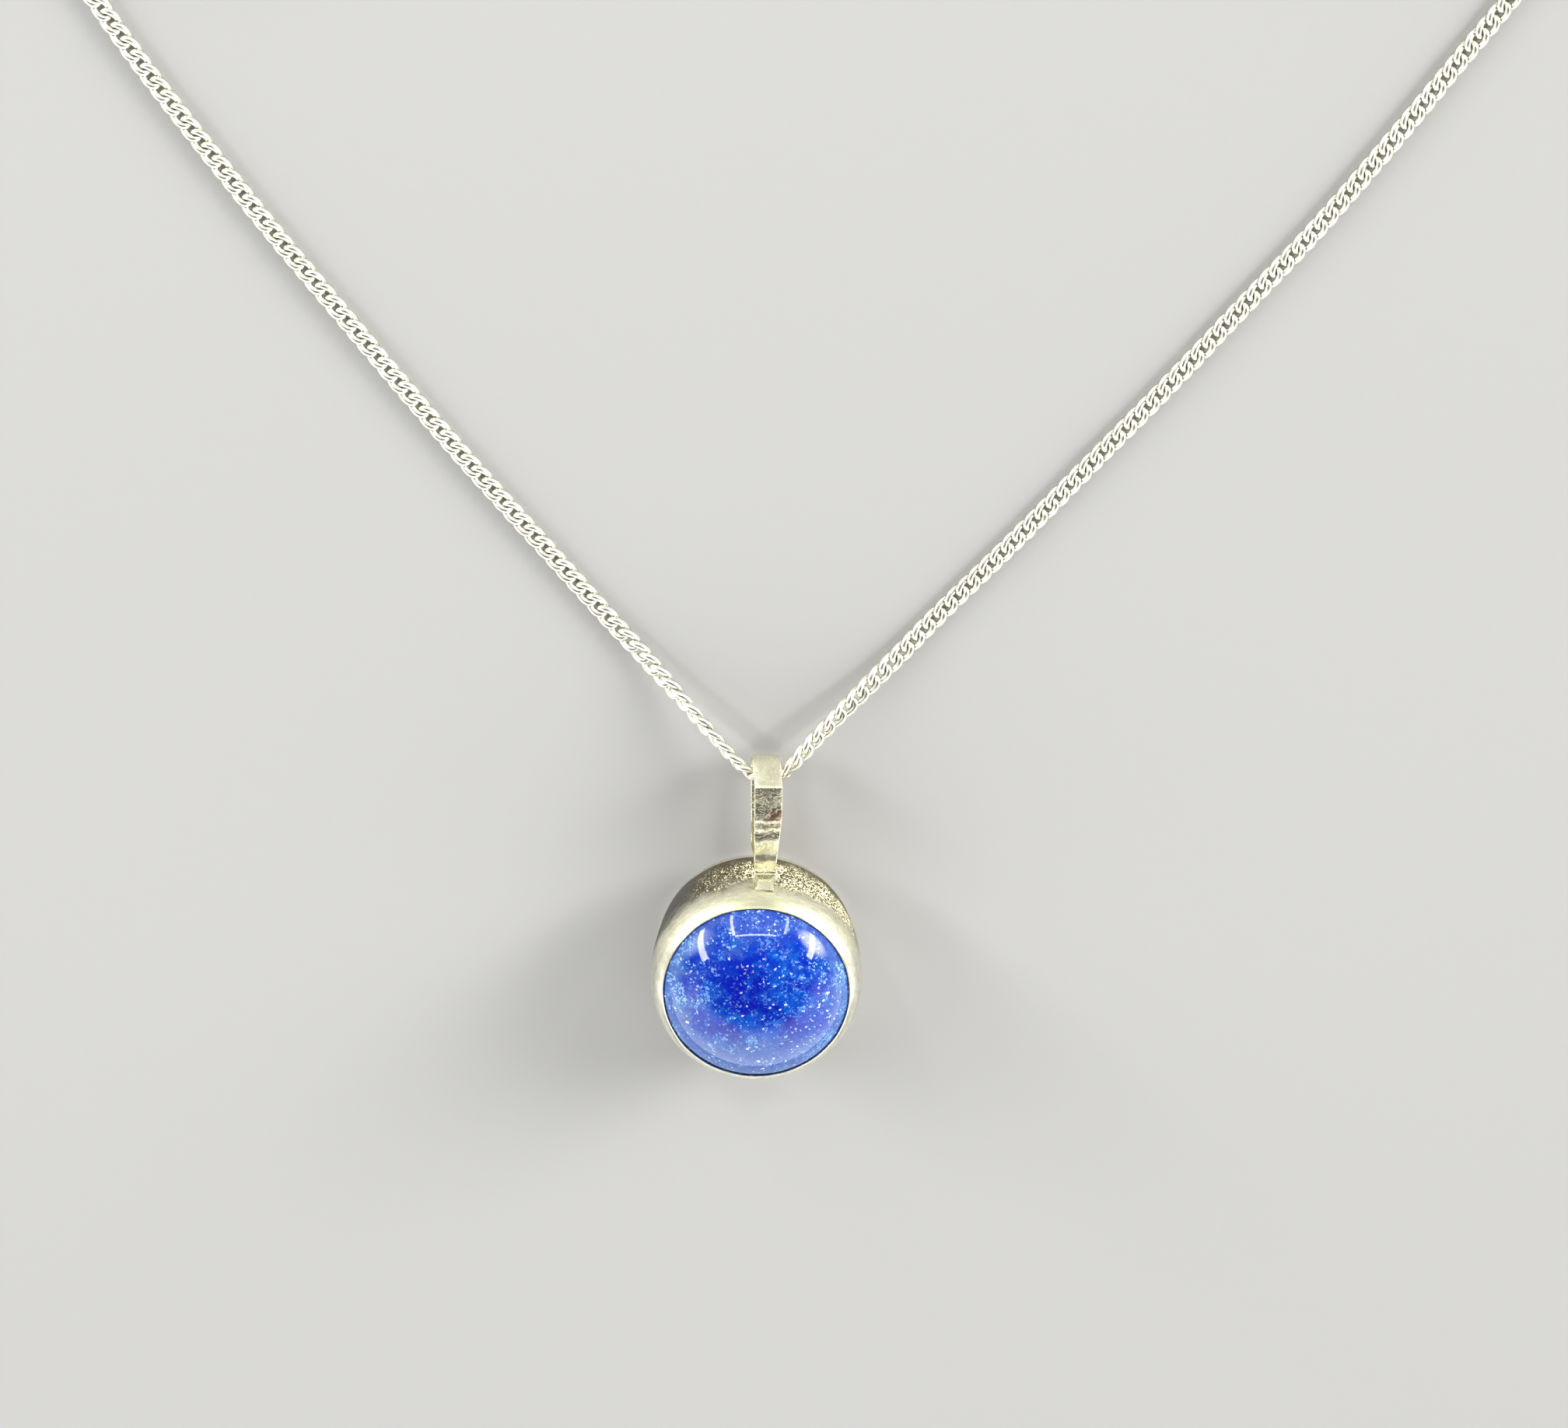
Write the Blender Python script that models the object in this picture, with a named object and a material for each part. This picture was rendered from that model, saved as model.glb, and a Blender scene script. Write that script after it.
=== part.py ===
"""Pendant necklace: a round lapis cabochon in a deep silver bezel, on a fine curb chain.

The necklace lies open on its back on the plane z = 0. The pendant's origin is the centre of the
back plate's underside, +Z points out through the stone and +Y points to the bail. The chain runs
through the bail, up both sides of a V, and each end is wound into a small coil. The clasp is undone.
Lengths are in metres.
"""
import math

import bmesh
import bpy
from mathutils import Vector

MM = 0.001
GAP = 0.03 * MM                 # air between pieces that are soldered or pressed together

# Pendant, turned about the Z axis
WALL_HEIGHT = 7.3 * MM          # back of the plate to the rim
BULGE_HEIGHT = 5.2 * MM         # where the wall is widest
BACK_RADIUS = 6.14 * MM
BULGE_RADIUS = 6.68 * MM
RIM_RADIUS = 6.03 * MM
RIM_INNER_RADIUS = 5.82 * MM
RIM_ROUNDING = 0.06 * MM
SHEET = 0.42 * MM               # silver sheet of the wall
PLATE_THICKNESS = 0.5 * MM
STONE_RADIUS = 6.0 * MM
STONE_BASE = 4.6 * MM
STONE_GIRDLE_TOP = 6.2 * MM
STONE_TOP = 9.5 * MM
SEAT_WIDTH = 0.5 * MM
TURN_STEPS = 48
WALL_STEPS = 10
DOME_STEPS = 10

# Bail: one strap bent into a loop, its front end soldered up the wall
BAIL_X = 0.62 * MM              # it sits a little to one side of the stone's centre
BAIL_STRAP = 0.35 * MM
BAIL_TOP_WIDTH = 1.75 * MM
BAIL_FOOT_WIDTH = 1.4 * MM
BAIL_TAIL_WIDTH = 1.05 * MM
BAIL_ARC_Y = 12.9 * MM
BAIL_ARC_Z = 2.7 * MM
BAIL_ARC_RADIUS = 1.125 * MM    # to the middle of the strap
BAIL_ARC_END = math.radians(28) # from there the strap rises straight to its crease
BAIL_LEG_Z = 4.6 * MM           # the front leg, level from the crease to the wall
BAIL_CREASE_BEND = 0.25 * MM
BAIL_FOOT_BEND = 0.4 * MM       # where the leg turns up the wall
BAIL_TAIL_TOP = 6.15 * MM
BAIL_ARC_STEPS = 8
BAIL_CREASE_STEPS = 4
BAIL_TAIL_STEPS = 5

# Chain, as plain tubes as wide as the links
CHAIN_WIDTH = 1.3 * MM
CHAIN_RADIUS = CHAIN_WIDTH / 2
TUBE_SPACING = 2.3 * CHAIN_WIDTH
CURVE_FINENESS = 24             # points between two of the route's own, before they are spaced out
CHAIN_AXIS = Vector((BAIL_X, 13.15 * MM, 2.7 * MM))
LEFT_RUN = [
    (-0.60, 13.22, 2.65), (-2.70, 15.35, 2.10), (-5.00, 17.90, 1.30),
    (-7.10, 20.30, 0.85), (-9.30, 22.80, 0.65), (-13.40, 27.80, 0.65), (-17.50, 32.80, 0.65),
    (-21.50, 37.90, 0.65), (-25.30, 42.90, 0.65), (-29.10, 47.90, 0.65), (-32.70, 52.90, 0.65),
    (-36.20, 57.90, 0.65), (-39.10, 62.40, 0.65), (-40.69, 65.00, 0.65),
]
RIGHT_RUN = [
    (1.85, 13.22, 2.65), (4.10, 15.50, 2.05), (6.70, 18.00, 1.30),
    (9.10, 20.40, 0.85), (11.40, 22.90, 0.65), (16.10, 27.90, 0.65), (20.70, 33.00, 0.65),
    (25.20, 38.00, 0.65), (29.60, 43.10, 0.65), (33.90, 48.10, 0.65), (37.90, 53.20, 0.65),
    (41.80, 58.40, 0.65), (44.80, 62.40, 0.65), (46.58, 64.94, 0.65),
]

# Coils: three and a third turns each, in two layers
COIL_INNER = 5.68 * MM          # middle of the innermost turn
COIL_OUTER = 8.03 * MM          # middle of the outermost turn
COIL_HEIGHT = 2 * CHAIN_WIDTH
COIL_CORNER = 0.45 * MM
COIL_STEPS = 36
LEFT_COIL = Vector((-36.3, 73.2, 0.0)) * MM
RIGHT_COIL = Vector((42.7, 73.4, 0.0)) * MM
# A tail leaves its coil along the top, from the coil's centre towards the other coil
TAIL = [(4.75, 8.03, 1.30), (6.60, 8.00, 1.05), (8.50, 7.90, 0.90), (10.50, 7.80, 0.85), (12.50, 7.80, 0.85)]

# Findings at the chain's ends, in a line along X at this height
LINE_Z = 0.85 * MM
LINE_Y = 7.8 * MM               # above each coil's centre
LINK_WIRE = 0.38 * MM
LINK_HOLE_LENGTH = 1.2 * MM
LINK_HOLE_HEIGHT = 0.66 * MM
JUMP_WIRE = 0.4 * MM
JUMP_RADIUS = 1.1 * MM
JUMP_PLAY = 0.44 * MM           # middle of the end link's wire to the middle of the jump ring's
JUMP_SPLIT = 2                  # degrees of the cut where the ring closes
EYE_WIRE = 0.36 * MM
EYE_RADIUS = 0.6 * MM
EYE_END = 345                   # degrees round the eye, short of where it closes on itself
CLASP_RADIUS = 2.1 * MM
CLASP_TUBE = 0.6 * MM
CLASP_BORE = 0.41 * MM
GATE_WIRE = 0.34 * MM           # radius
CLASP_MOUTH = 33                # degrees each side of +X
CUTTER_OVERRUN = 5              # degrees that the bore's cutter runs past the mouth
GATE_TIP = -40
GATE_TAIL = 92
GATE_TRAVEL = 70
SOCKET_START = 308              # the blind hole that the gate's tip closes into
SOCKET_END = 332
SLOT_WIDTH = 0.4 * MM
SLOT_MARGIN = 9                 # degrees of slot past each end of the knob's travel
SPRING_STOP = 205
SPRING_PLAY = 3                 # degrees left at each end of the spring
SPRING_WIRE = 0.06 * MM         # radius
SPRING_RADIUS = 0.3 * MM
SPRING_TURNS = 7
SPRING_SIDES = 8
KNOB_ANGLE = 72
KNOB_STEM = 0.13 * MM           # radius
KNOB_HEAD = 0.36 * MM           # radius
KNOB_NECK = 0.08 * MM           # of stem that shows between the tube and the head
KNOB_SIDES = 12
KNOB_STEPS = 6
ARC_STEP = 8                    # degrees
BEND_STEP = 20
RING_STEP = 15
TUBE_SIDES = 12
GATE_SIDES = 10


def clear_scene():
    for obj in list(bpy.data.objects):
        bpy.data.objects.remove(obj, do_unlink=True)


def make_material(name, colour, roughness, metallic):
    material = bpy.data.materials.new(name)
    material.use_nodes = True
    shader = material.node_tree.nodes["Principled BSDF"]
    shader.inputs["Base Color"].default_value = (*colour, 1.0)
    shader.inputs["Roughness"].default_value = roughness
    shader.inputs["Metallic"].default_value = metallic
    material.diffuse_color = (*colour, 1.0)
    return material


def add_object(name, data, material, parent=None):
    """Link an object whose data is already in world places, hung from its joint's empty."""
    obj = bpy.data.objects.new(name, data)
    bpy.context.scene.collection.objects.link(obj)
    data.materials.append(material)
    if parent:
        obj.parent = parent
        obj.matrix_parent_inverse = parent.matrix_world.inverted()
    return obj


def add_pivot(name, place, parent=None):
    """An empty on a joint's axis."""
    pivot = bpy.data.objects.new(name, None)
    pivot.empty_display_size = 2 * MM
    pivot.location = place
    bpy.context.scene.collection.objects.link(pivot)
    bpy.context.view_layer.update()
    if parent:
        pivot.parent = parent
        pivot.matrix_parent_inverse = parent.matrix_world.inverted()
        bpy.context.view_layer.update()
    return pivot


def finish_mesh(bm, name, sharp_angle=35):
    bmesh.ops.recalc_face_normals(bm, faces=bm.faces)
    mesh = bpy.data.meshes.new(name)
    bm.to_mesh(mesh)
    bm.free()
    mesh.shade_smooth()
    mesh.set_sharp_from_angle(angle=math.radians(sharp_angle))
    return mesh


def turned_mesh(name, profile, closed, centre=(0.0, 0.0, 0.0), steps=TURN_STEPS):
    """Spin a profile of (radius, height) about a vertical axis through centre."""
    bm = bmesh.new()
    verts = [bm.verts.new((radius, 0.0, height)) for radius, height in profile]
    pairs = list(zip(verts, verts[1:]))
    if closed:
        pairs.append((verts[-1], verts[0]))
    edges = [bm.edges.new(pair) for pair in pairs]
    bmesh.ops.spin(
        bm, geom=verts + edges, cent=(0, 0, 0), axis=(0, 0, 1),
        angle=math.tau, steps=steps, use_merge=True,
    )
    bmesh.ops.remove_doubles(bm, verts=bm.verts, dist=0.001 * MM)
    bmesh.ops.translate(bm, verts=bm.verts, vec=centre)
    return finish_mesh(bm, name)


def loft_mesh(name, rings):
    """Skin a row of rings and cap the two end rings."""
    bm = bmesh.new()
    loops = [[bm.verts.new(point) for point in ring] for ring in rings]
    for first, second in zip(loops, loops[1:]):
        for here, there in zip(range(len(first)), [*range(1, len(first)), 0]):
            bm.faces.new((first[here], first[there], second[there], second[here]))
    bm.faces.new(loops[0])
    bm.faces.new(loops[-1])
    return finish_mesh(bm, name)


def smooth_route(points, spacing):
    """Points about spacing apart on a Catmull-Rom curve through the given points."""
    knots = [Vector(point) * MM for point in points]
    knots = [2 * knots[0] - knots[1], *knots, 2 * knots[-1] - knots[-2]]
    dense = []
    for before, start, end, after in zip(knots, knots[1:], knots[2:], knots[3:]):
        for step in range(CURVE_FINENESS):
            t = step / CURVE_FINENESS
            dense.append(0.5 * (
                2 * start + (end - before) * t
                + (2 * before - 5 * start + 4 * end - after) * t ** 2
                + (3 * start - before - 3 * end + after) * t ** 3
            ))
    dense.append(knots[-2])
    lengths = [0.0]
    for here, there in zip(dense, dense[1:]):
        lengths.append(lengths[-1] + (there - here).length)
    count = max(2, round(lengths[-1] / spacing))
    route = []
    for index in range(count + 1):
        wanted = lengths[-1] * index / count
        place = min(range(len(lengths)), key=lambda i: abs(lengths[i] - wanted))
        route.append(dense[place])
    return route


def wire_curve(name, points, radius, closed=False, resolution=2):
    """A round wire or tube along points, as a bevelled curve."""
    curve = bpy.data.curves.new(name, "CURVE")
    curve.dimensions = "3D"
    curve.bevel_depth = radius
    curve.bevel_resolution = resolution
    curve.use_fill_caps = True
    curve.resolution_u = 1
    curve.render_resolution_u = 0
    spline = curve.splines.new("POLY")
    spline.points.add(len(points) - 1)
    for item, point in zip(spline.points, points):
        item.co = (*point, 1.0)
    spline.use_cyclic_u = closed
    spline.use_smooth = True
    return curve


def wall_outer(height):
    """Outer radius of the bezel wall: a shallow barrel that rounds over into the rim."""
    if height < BULGE_HEIGHT:
        fall = ((BULGE_HEIGHT - height) / BULGE_HEIGHT) ** 2
        return BULGE_RADIUS - (BULGE_RADIUS - BACK_RADIUS) * fall
    fall = ((height - BULGE_HEIGHT) / (WALL_HEIGHT - BULGE_HEIGHT)) ** 1.9
    return BULGE_RADIUS - (BULGE_RADIUS - RIM_RADIUS) * fall


def add_bezel_wall(metal, pivot):
    bottom = PLATE_THICKNESS + GAP
    top = WALL_HEIGHT - RIM_ROUNDING
    heights = [bottom + (top - bottom) * step / WALL_STEPS for step in range(WALL_STEPS + 1)]
    outer = [(wall_outer(height), height) for height in heights]
    rim = [(RIM_RADIUS - RIM_ROUNDING, WALL_HEIGHT), (RIM_INNER_RADIUS + RIM_ROUNDING, WALL_HEIGHT)]
    lip = [(RIM_INNER_RADIUS, WALL_HEIGHT - RIM_ROUNDING)]
    inner = [(wall_outer(height) - SHEET, height) for height in reversed(heights[:-2])]
    mesh = turned_mesh("bezel_wall", outer + rim + lip + inner, closed=True)
    return add_object("bezel_wall", mesh, metal, pivot)


def add_back_plate(metal, pivot):
    chamfer = 0.12 * MM
    profile = [
        (0.0, 0.0), (BACK_RADIUS - chamfer, 0.0), (BACK_RADIUS, chamfer),
        (BACK_RADIUS, PLATE_THICKNESS), (0.0, PLATE_THICKNESS),
    ]
    return add_object("back_plate", turned_mesh("back_plate", profile, closed=False), metal, pivot)


def add_stone_seat(metal, pivot):
    """The inner band that carries the stone inside the deep wall."""
    outer = wall_outer(PLATE_THICKNESS) - SHEET - GAP
    inner = outer - SEAT_WIDTH
    low = PLATE_THICKNESS + GAP
    high = STONE_BASE - GAP
    profile = [(outer, low), (outer, high), (inner, high), (inner, low)]
    return add_object("stone_seat", turned_mesh("stone_seat", profile, closed=True), metal, pivot)


def add_cabochon(stone, pivot):
    """A round stone with an upright girdle and a domed top."""
    chamfer = 0.2 * MM
    profile = [(0.0, STONE_BASE), (STONE_RADIUS - chamfer, STONE_BASE), (STONE_RADIUS, STONE_BASE + chamfer)]
    for step in range(DOME_STEPS):
        angle = math.pi / 2 * step / DOME_STEPS
        rise = (STONE_TOP - STONE_GIRDLE_TOP) * math.sin(angle)
        profile.append((STONE_RADIUS * math.cos(angle), STONE_GIRDLE_TOP + rise))
    profile.append((0.0, STONE_TOP))
    return add_object("cabochon", turned_mesh("cabochon", profile, closed=False), stone, pivot)


def bail_path():
    """(y, z, width) along the middle of the strap, from the back leg round to the soldered tail."""
    half = BAIL_STRAP / 2
    back_z = BAIL_ARC_Z - BAIL_ARC_RADIUS
    path = [(wall_outer(back_z) + GAP, back_z, BAIL_FOOT_WIDTH)]
    for step in range(BAIL_ARC_STEPS + 1):
        angle = -math.pi / 2 + (BAIL_ARC_END + math.pi / 2) * step / BAIL_ARC_STEPS
        y = BAIL_ARC_Y + BAIL_ARC_RADIUS * math.cos(angle)
        z = BAIL_ARC_Z + BAIL_ARC_RADIUS * math.sin(angle)
        path.append((y, z, BAIL_TOP_WIDTH))
    crease_y = y - (BAIL_LEG_Z - z) * math.tan(BAIL_ARC_END)
    crease_y -= BAIL_CREASE_BEND * math.tan((math.pi / 2 - BAIL_ARC_END) / 2)
    for step in range(BAIL_CREASE_STEPS + 1):
        angle = BAIL_ARC_END + (math.pi / 2 - BAIL_ARC_END) * step / BAIL_CREASE_STEPS
        y = crease_y + BAIL_CREASE_BEND * math.cos(angle)
        path.append((y, BAIL_LEG_Z - BAIL_CREASE_BEND * (1 - math.sin(angle)), BAIL_TOP_WIDTH))
    foot_y = wall_outer(BAIL_LEG_Z) + half + GAP
    path.append((foot_y + BAIL_FOOT_BEND, BAIL_LEG_Z, BAIL_FOOT_WIDTH))
    path.append((foot_y + BAIL_FOOT_BEND / 4, BAIL_LEG_Z + BAIL_FOOT_BEND / 5, BAIL_FOOT_WIDTH))
    low = BAIL_LEG_Z + BAIL_FOOT_BEND
    for step in range(BAIL_TAIL_STEPS + 1):
        height = low + (BAIL_TAIL_TOP - low) * step / BAIL_TAIL_STEPS
        path.append((wall_outer(height) + half + GAP, height, BAIL_TAIL_WIDTH))
    return path


def add_bail(metal, pivot):
    path = bail_path()
    rings = []
    for index, (y, z, width) in enumerate(path):
        before = path[max(index - 1, 0)]
        after = path[min(index + 1, len(path) - 1)]
        along = Vector((0.0, after[0] - before[0], after[1] - before[1])).normalized()
        out = Vector((0.0, along.z, -along.y)) * BAIL_STRAP / 2
        side = Vector((width / 2, 0.0, 0.0))
        middle = Vector((BAIL_X, y, z))
        rings.append([middle + side + out, middle - side + out, middle - side - out, middle + side - out])
    return add_object("bail", loft_mesh("bail", rings), metal, pivot)


def add_chain_tube(name, points, metal, start=None):
    """A tube along the route; start is where it lies straight, inside the bail."""
    route = smooth_route(points, TUBE_SPACING)
    if start:
        route.insert(0, start)
    return add_object(name, wire_curve(name, route, CHAIN_RADIUS), metal)


def add_coil(name, centre, metal):
    """One closed ring of the coil's outer shape."""
    inner = COIL_INNER - CHAIN_RADIUS
    outer = COIL_OUTER + CHAIN_RADIUS
    high = COIL_HEIGHT - COIL_CORNER
    profile = [
        (inner + COIL_CORNER, 0.0), (outer - COIL_CORNER, 0.0), (outer, COIL_CORNER), (outer, high),
        (outer - COIL_CORNER, COIL_HEIGHT), (inner + COIL_CORNER, COIL_HEIGHT), (inner, high),
        (inner, COIL_CORNER),
    ]
    return add_object(name, turned_mesh(name, profile, closed=True, centre=centre, steps=COIL_STEPS), metal)


def circle_points(centre, radius, across, up, start, end, step=RING_STEP):
    """Points on an arc in the plane of across and up; angles in degrees."""
    count = max(3, round(abs(end - start) / step))
    points = []
    for index in range(count + 1):
        angle = math.radians(start + (end - start) * index / count)
        points.append(centre + radius * (across * math.cos(angle) + up * math.sin(angle)))
    return points


def add_end_link(name, face_x, side, line_y, metal):
    """The chain's last link, standing on edge; returns the middle of its far wire."""
    half_straight = (LINK_HOLE_LENGTH - LINK_HOLE_HEIGHT) / 2
    bend = LINK_HOLE_HEIGHT / 2 + LINK_WIRE / 2
    centre = Vector((face_x + side * (GAP + half_straight + bend + LINK_WIRE / 2), line_y, LINE_Z))
    across = Vector((1, 0, 0))
    up = Vector((0, 0, 1))
    points = circle_points(centre + across * half_straight, bend, across, up, -90, 90, BEND_STEP)
    points += circle_points(centre - across * half_straight, bend, across, up, 90, 270, BEND_STEP)
    add_object(name, wire_curve(name, points, LINK_WIRE / 2, closed=True), metal)
    return Vector((centre.x + side * (half_straight + bend), line_y, LINE_Z))


def add_jump_ring(name, pin, side, metal, pivot):
    """A ring bent from wire, closed to a fine cut; returns the middle of its far wire."""
    centre = pin + Vector((side * (JUMP_RADIUS - JUMP_PLAY), 0, 0))
    start = 90 + JUMP_SPLIT / 2
    end = start + 360 - JUMP_SPLIT
    points = circle_points(centre, JUMP_RADIUS, Vector((1, 0, 0)), Vector((0, 1, 0)), start, end)
    add_object(name, wire_curve(name, points, JUMP_WIRE / 2), metal, pivot)
    return centre + Vector((side * JUMP_RADIUS, 0, 0))


def arc_tube_mesh(name, centre, arc_radius, tube_radius, start, end, sides=TUBE_SIDES):
    """A round bar bent along a level arc; angles in degrees."""
    count = round((end - start) / ARC_STEP)
    rings = []
    for index in range(count + 1):
        angle = math.radians(start + (end - start) * index / count)
        outward = Vector((math.cos(angle), math.sin(angle), 0.0))
        ring = []
        for side in range(sides):
            turn = math.tau * side / sides
            reach = arc_radius + tube_radius * math.cos(turn)
            ring.append(centre + outward * reach + Vector((0, 0, tube_radius * math.sin(turn))))
        rings.append(ring)
    return loft_mesh(name, rings)


def add_cutter(name, mesh, target):
    """A hidden shape that is taken away from the target."""
    cutter = bpy.data.objects.new(name, mesh)
    bpy.context.scene.collection.objects.link(cutter)
    cutter.hide_render = True
    cutter.display_type = "WIRE"
    cutter.parent = target.parent
    cutter.matrix_parent_inverse = target.matrix_parent_inverse.copy()
    cut = target.modifiers.new(name, "BOOLEAN")
    cut.operation = "DIFFERENCE"
    cut.object = cutter


def slot_mesh(name, centre, start, end):
    """The block that cuts the thumb knob's slot through the outside of the clasp's tube."""
    half = SLOT_WIDTH / 2
    near = CLASP_RADIUS + 0.1 * MM
    far = CLASP_RADIUS + 2 * CLASP_TUBE
    count = round((end - start) / ARC_STEP)
    rings = []
    for index in range(count + 1):
        angle = math.radians(start + (end - start) * index / count)
        outward = Vector((math.cos(angle), math.sin(angle), 0.0))
        corners = [(near, -half), (far, -half), (far, half), (near, half)]
        rings.append([centre + outward * reach + Vector((0, 0, lift)) for reach, lift in corners])
    return loft_mesh(name, rings)


def add_clasp_body(centre, metal, pivot):
    """The hollow ring: a bore for the gate and its spring, a socket for the gate's tip, a slot."""
    mesh = arc_tube_mesh("clasp_body", centre, CLASP_RADIUS, CLASP_TUBE, CLASP_MOUTH, 360 - CLASP_MOUTH)
    body = add_object("clasp_body", mesh, metal, pivot)
    mouth = CLASP_MOUTH - CUTTER_OVERRUN
    bore = arc_tube_mesh("bore_cutter", centre, CLASP_RADIUS, CLASP_BORE, mouth, SPRING_STOP)
    socket = arc_tube_mesh("socket_cutter", centre, CLASP_RADIUS, CLASP_BORE, SOCKET_START, SOCKET_END)
    slot = slot_mesh("slot_cutter", centre, KNOB_ANGLE - SLOT_MARGIN, KNOB_ANGLE + GATE_TRAVEL + SLOT_MARGIN)
    for name, cutter in (("bore_cutter", bore), ("socket_cutter", socket), ("slot_cutter", slot)):
        add_cutter(name, cutter, body)
    return body


def add_clasp_gate(centre, metal, pivot):
    mesh = arc_tube_mesh("clasp_gate", centre, CLASP_RADIUS, GATE_WIRE, GATE_TIP, GATE_TAIL, GATE_SIDES)
    return add_object("clasp_gate", mesh, metal, pivot)


def add_thumb_knob(centre, metal, pivot):
    """A stem through the slot with a small round head, fixed to the gate."""
    angle = math.radians(KNOB_ANGLE)
    outward = Vector((math.cos(angle), math.sin(angle), 0.0))
    sideways = Vector((-outward.y, outward.x, 0.0))
    up = Vector((0, 0, 1))
    start = CLASP_RADIUS + GATE_WIRE + GAP
    neck = CLASP_RADIUS + CLASP_TUBE + KNOB_NECK
    stations = [(start, KNOB_STEM), (neck, KNOB_STEM)]
    stem_turn = math.asin(KNOB_STEM / KNOB_HEAD)
    for step in range(1, KNOB_STEPS + 1):
        turn = stem_turn + (math.pi - stem_turn) * step / (KNOB_STEPS + 0.5)
        rise = KNOB_HEAD * (math.cos(stem_turn) - math.cos(turn))
        stations.append((neck + rise, KNOB_HEAD * math.sin(turn)))
    rings = []
    for reach, radius in stations:
        middle = centre + outward * reach
        ring = []
        for side in range(KNOB_SIDES):
            turn = math.tau * side / KNOB_SIDES
            ring.append(middle + radius * (sideways * math.cos(turn) + up * math.sin(turn)))
        rings.append(ring)
    return add_object("clasp_thumb_knob", loft_mesh("clasp_thumb_knob", rings), metal, pivot)


def add_clasp_spring(centre, metal, pivot):
    """The coil spring behind the gate, bent along the bore."""
    start = GATE_TAIL + SPRING_PLAY
    end = SPRING_STOP - SPRING_PLAY
    count = SPRING_TURNS * SPRING_SIDES
    points = []
    for index in range(count + 1):
        angle = math.radians(start + (end - start) * index / count)
        turn = math.tau * index / SPRING_SIDES
        reach = CLASP_RADIUS + SPRING_RADIUS * math.cos(turn)
        lift = Vector((0, 0, SPRING_RADIUS * math.sin(turn)))
        points.append(centre + Vector((math.cos(angle), math.sin(angle), 0.0)) * reach + lift)
    curve = wire_curve("clasp_spring", points, SPRING_WIRE, resolution=1)
    return add_object("clasp_spring", curve, metal, pivot)


def add_pendant(silver, stone):
    pivot = add_pivot("pendant_pivot", CHAIN_AXIS)
    add_bezel_wall(silver, pivot)
    add_back_plate(silver, pivot)
    add_stone_seat(silver, pivot)
    add_cabochon(stone, pivot)
    add_bail(silver, pivot)


def add_chain(silver):
    half_gap = Vector((GAP / 2, 0, 0))
    add_chain_tube("chain_left_run", LEFT_RUN, silver, CHAIN_AXIS - half_gap)
    add_chain_tube("chain_right_run", RIGHT_RUN, silver, CHAIN_AXIS + half_gap)
    add_coil("chain_left_coil", LEFT_COIL, silver)
    add_coil("chain_right_coil", RIGHT_COIL, silver)
    for name, coil, side in (("chain_left_tail", LEFT_COIL, 1), ("chain_right_tail", RIGHT_COIL, -1)):
        points = [(coil.x / MM + side * x, coil.y / MM + y, z) for x, y, z in TAIL]
        add_chain_tube(name, points, silver)


def add_clasp_end(silver, steel):
    """End link, jump ring and spring ring clasp on the left coil's tail."""
    line_y = LEFT_COIL.y + LINE_Y
    pin = add_end_link("left_end_link", LEFT_COIL.x + TAIL[-1][0] * MM, 1, line_y, silver)
    ring_pivot = add_pivot("clasp_link_pivot", pin)
    far = add_jump_ring("clasp_jump_ring", pin, 1, silver, ring_pivot)
    clasp_pivot = add_pivot("clasp_pivot", far, ring_pivot)
    eye = circle_points(far, EYE_RADIUS, Vector((1, 0, 0)), Vector((0, 0, 1)), 0, EYE_END)
    add_object("clasp_eye", wire_curve("clasp_eye", eye, EYE_WIRE / 2, closed=True), silver, clasp_pivot)
    reach = EYE_RADIUS + EYE_WIRE / 2 + GAP + CLASP_TUBE + CLASP_RADIUS
    centre = far + Vector((reach, 0, 0))
    add_clasp_body(centre, silver, clasp_pivot)
    add_clasp_spring(centre, steel, clasp_pivot)
    gate_pivot = add_pivot("gate_pivot", centre, clasp_pivot)
    add_clasp_gate(centre, silver, gate_pivot)
    add_thumb_knob(centre, silver, gate_pivot)


def add_catch_end(silver):
    """End link and the jump ring that the clasp hooks into, on the right coil's tail."""
    line_y = RIGHT_COIL.y + LINE_Y
    pin = add_end_link("right_end_link", RIGHT_COIL.x - TAIL[-1][0] * MM, -1, line_y, silver)
    pivot = add_pivot("catch_link_pivot", pin)
    add_jump_ring("catch_jump_ring", pin, -1, silver, pivot)


def main():
    clear_scene()
    silver = make_material("silver", (0.86, 0.84, 0.78), 0.28, 1.0)
    steel = make_material("spring_steel", (0.55, 0.55, 0.56), 0.35, 1.0)
    stone = make_material("lapis", (0.03, 0.07, 0.45), 0.18, 0.0)
    add_pendant(silver, stone)
    add_chain(silver)
    add_clasp_end(silver, steel)
    add_catch_end(silver)


main()
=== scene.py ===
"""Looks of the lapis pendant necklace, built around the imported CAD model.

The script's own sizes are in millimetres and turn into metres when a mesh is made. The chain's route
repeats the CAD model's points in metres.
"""
import math

import bmesh
import bpy
import numpy as np
from mathutils import Matrix, Vector


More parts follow.
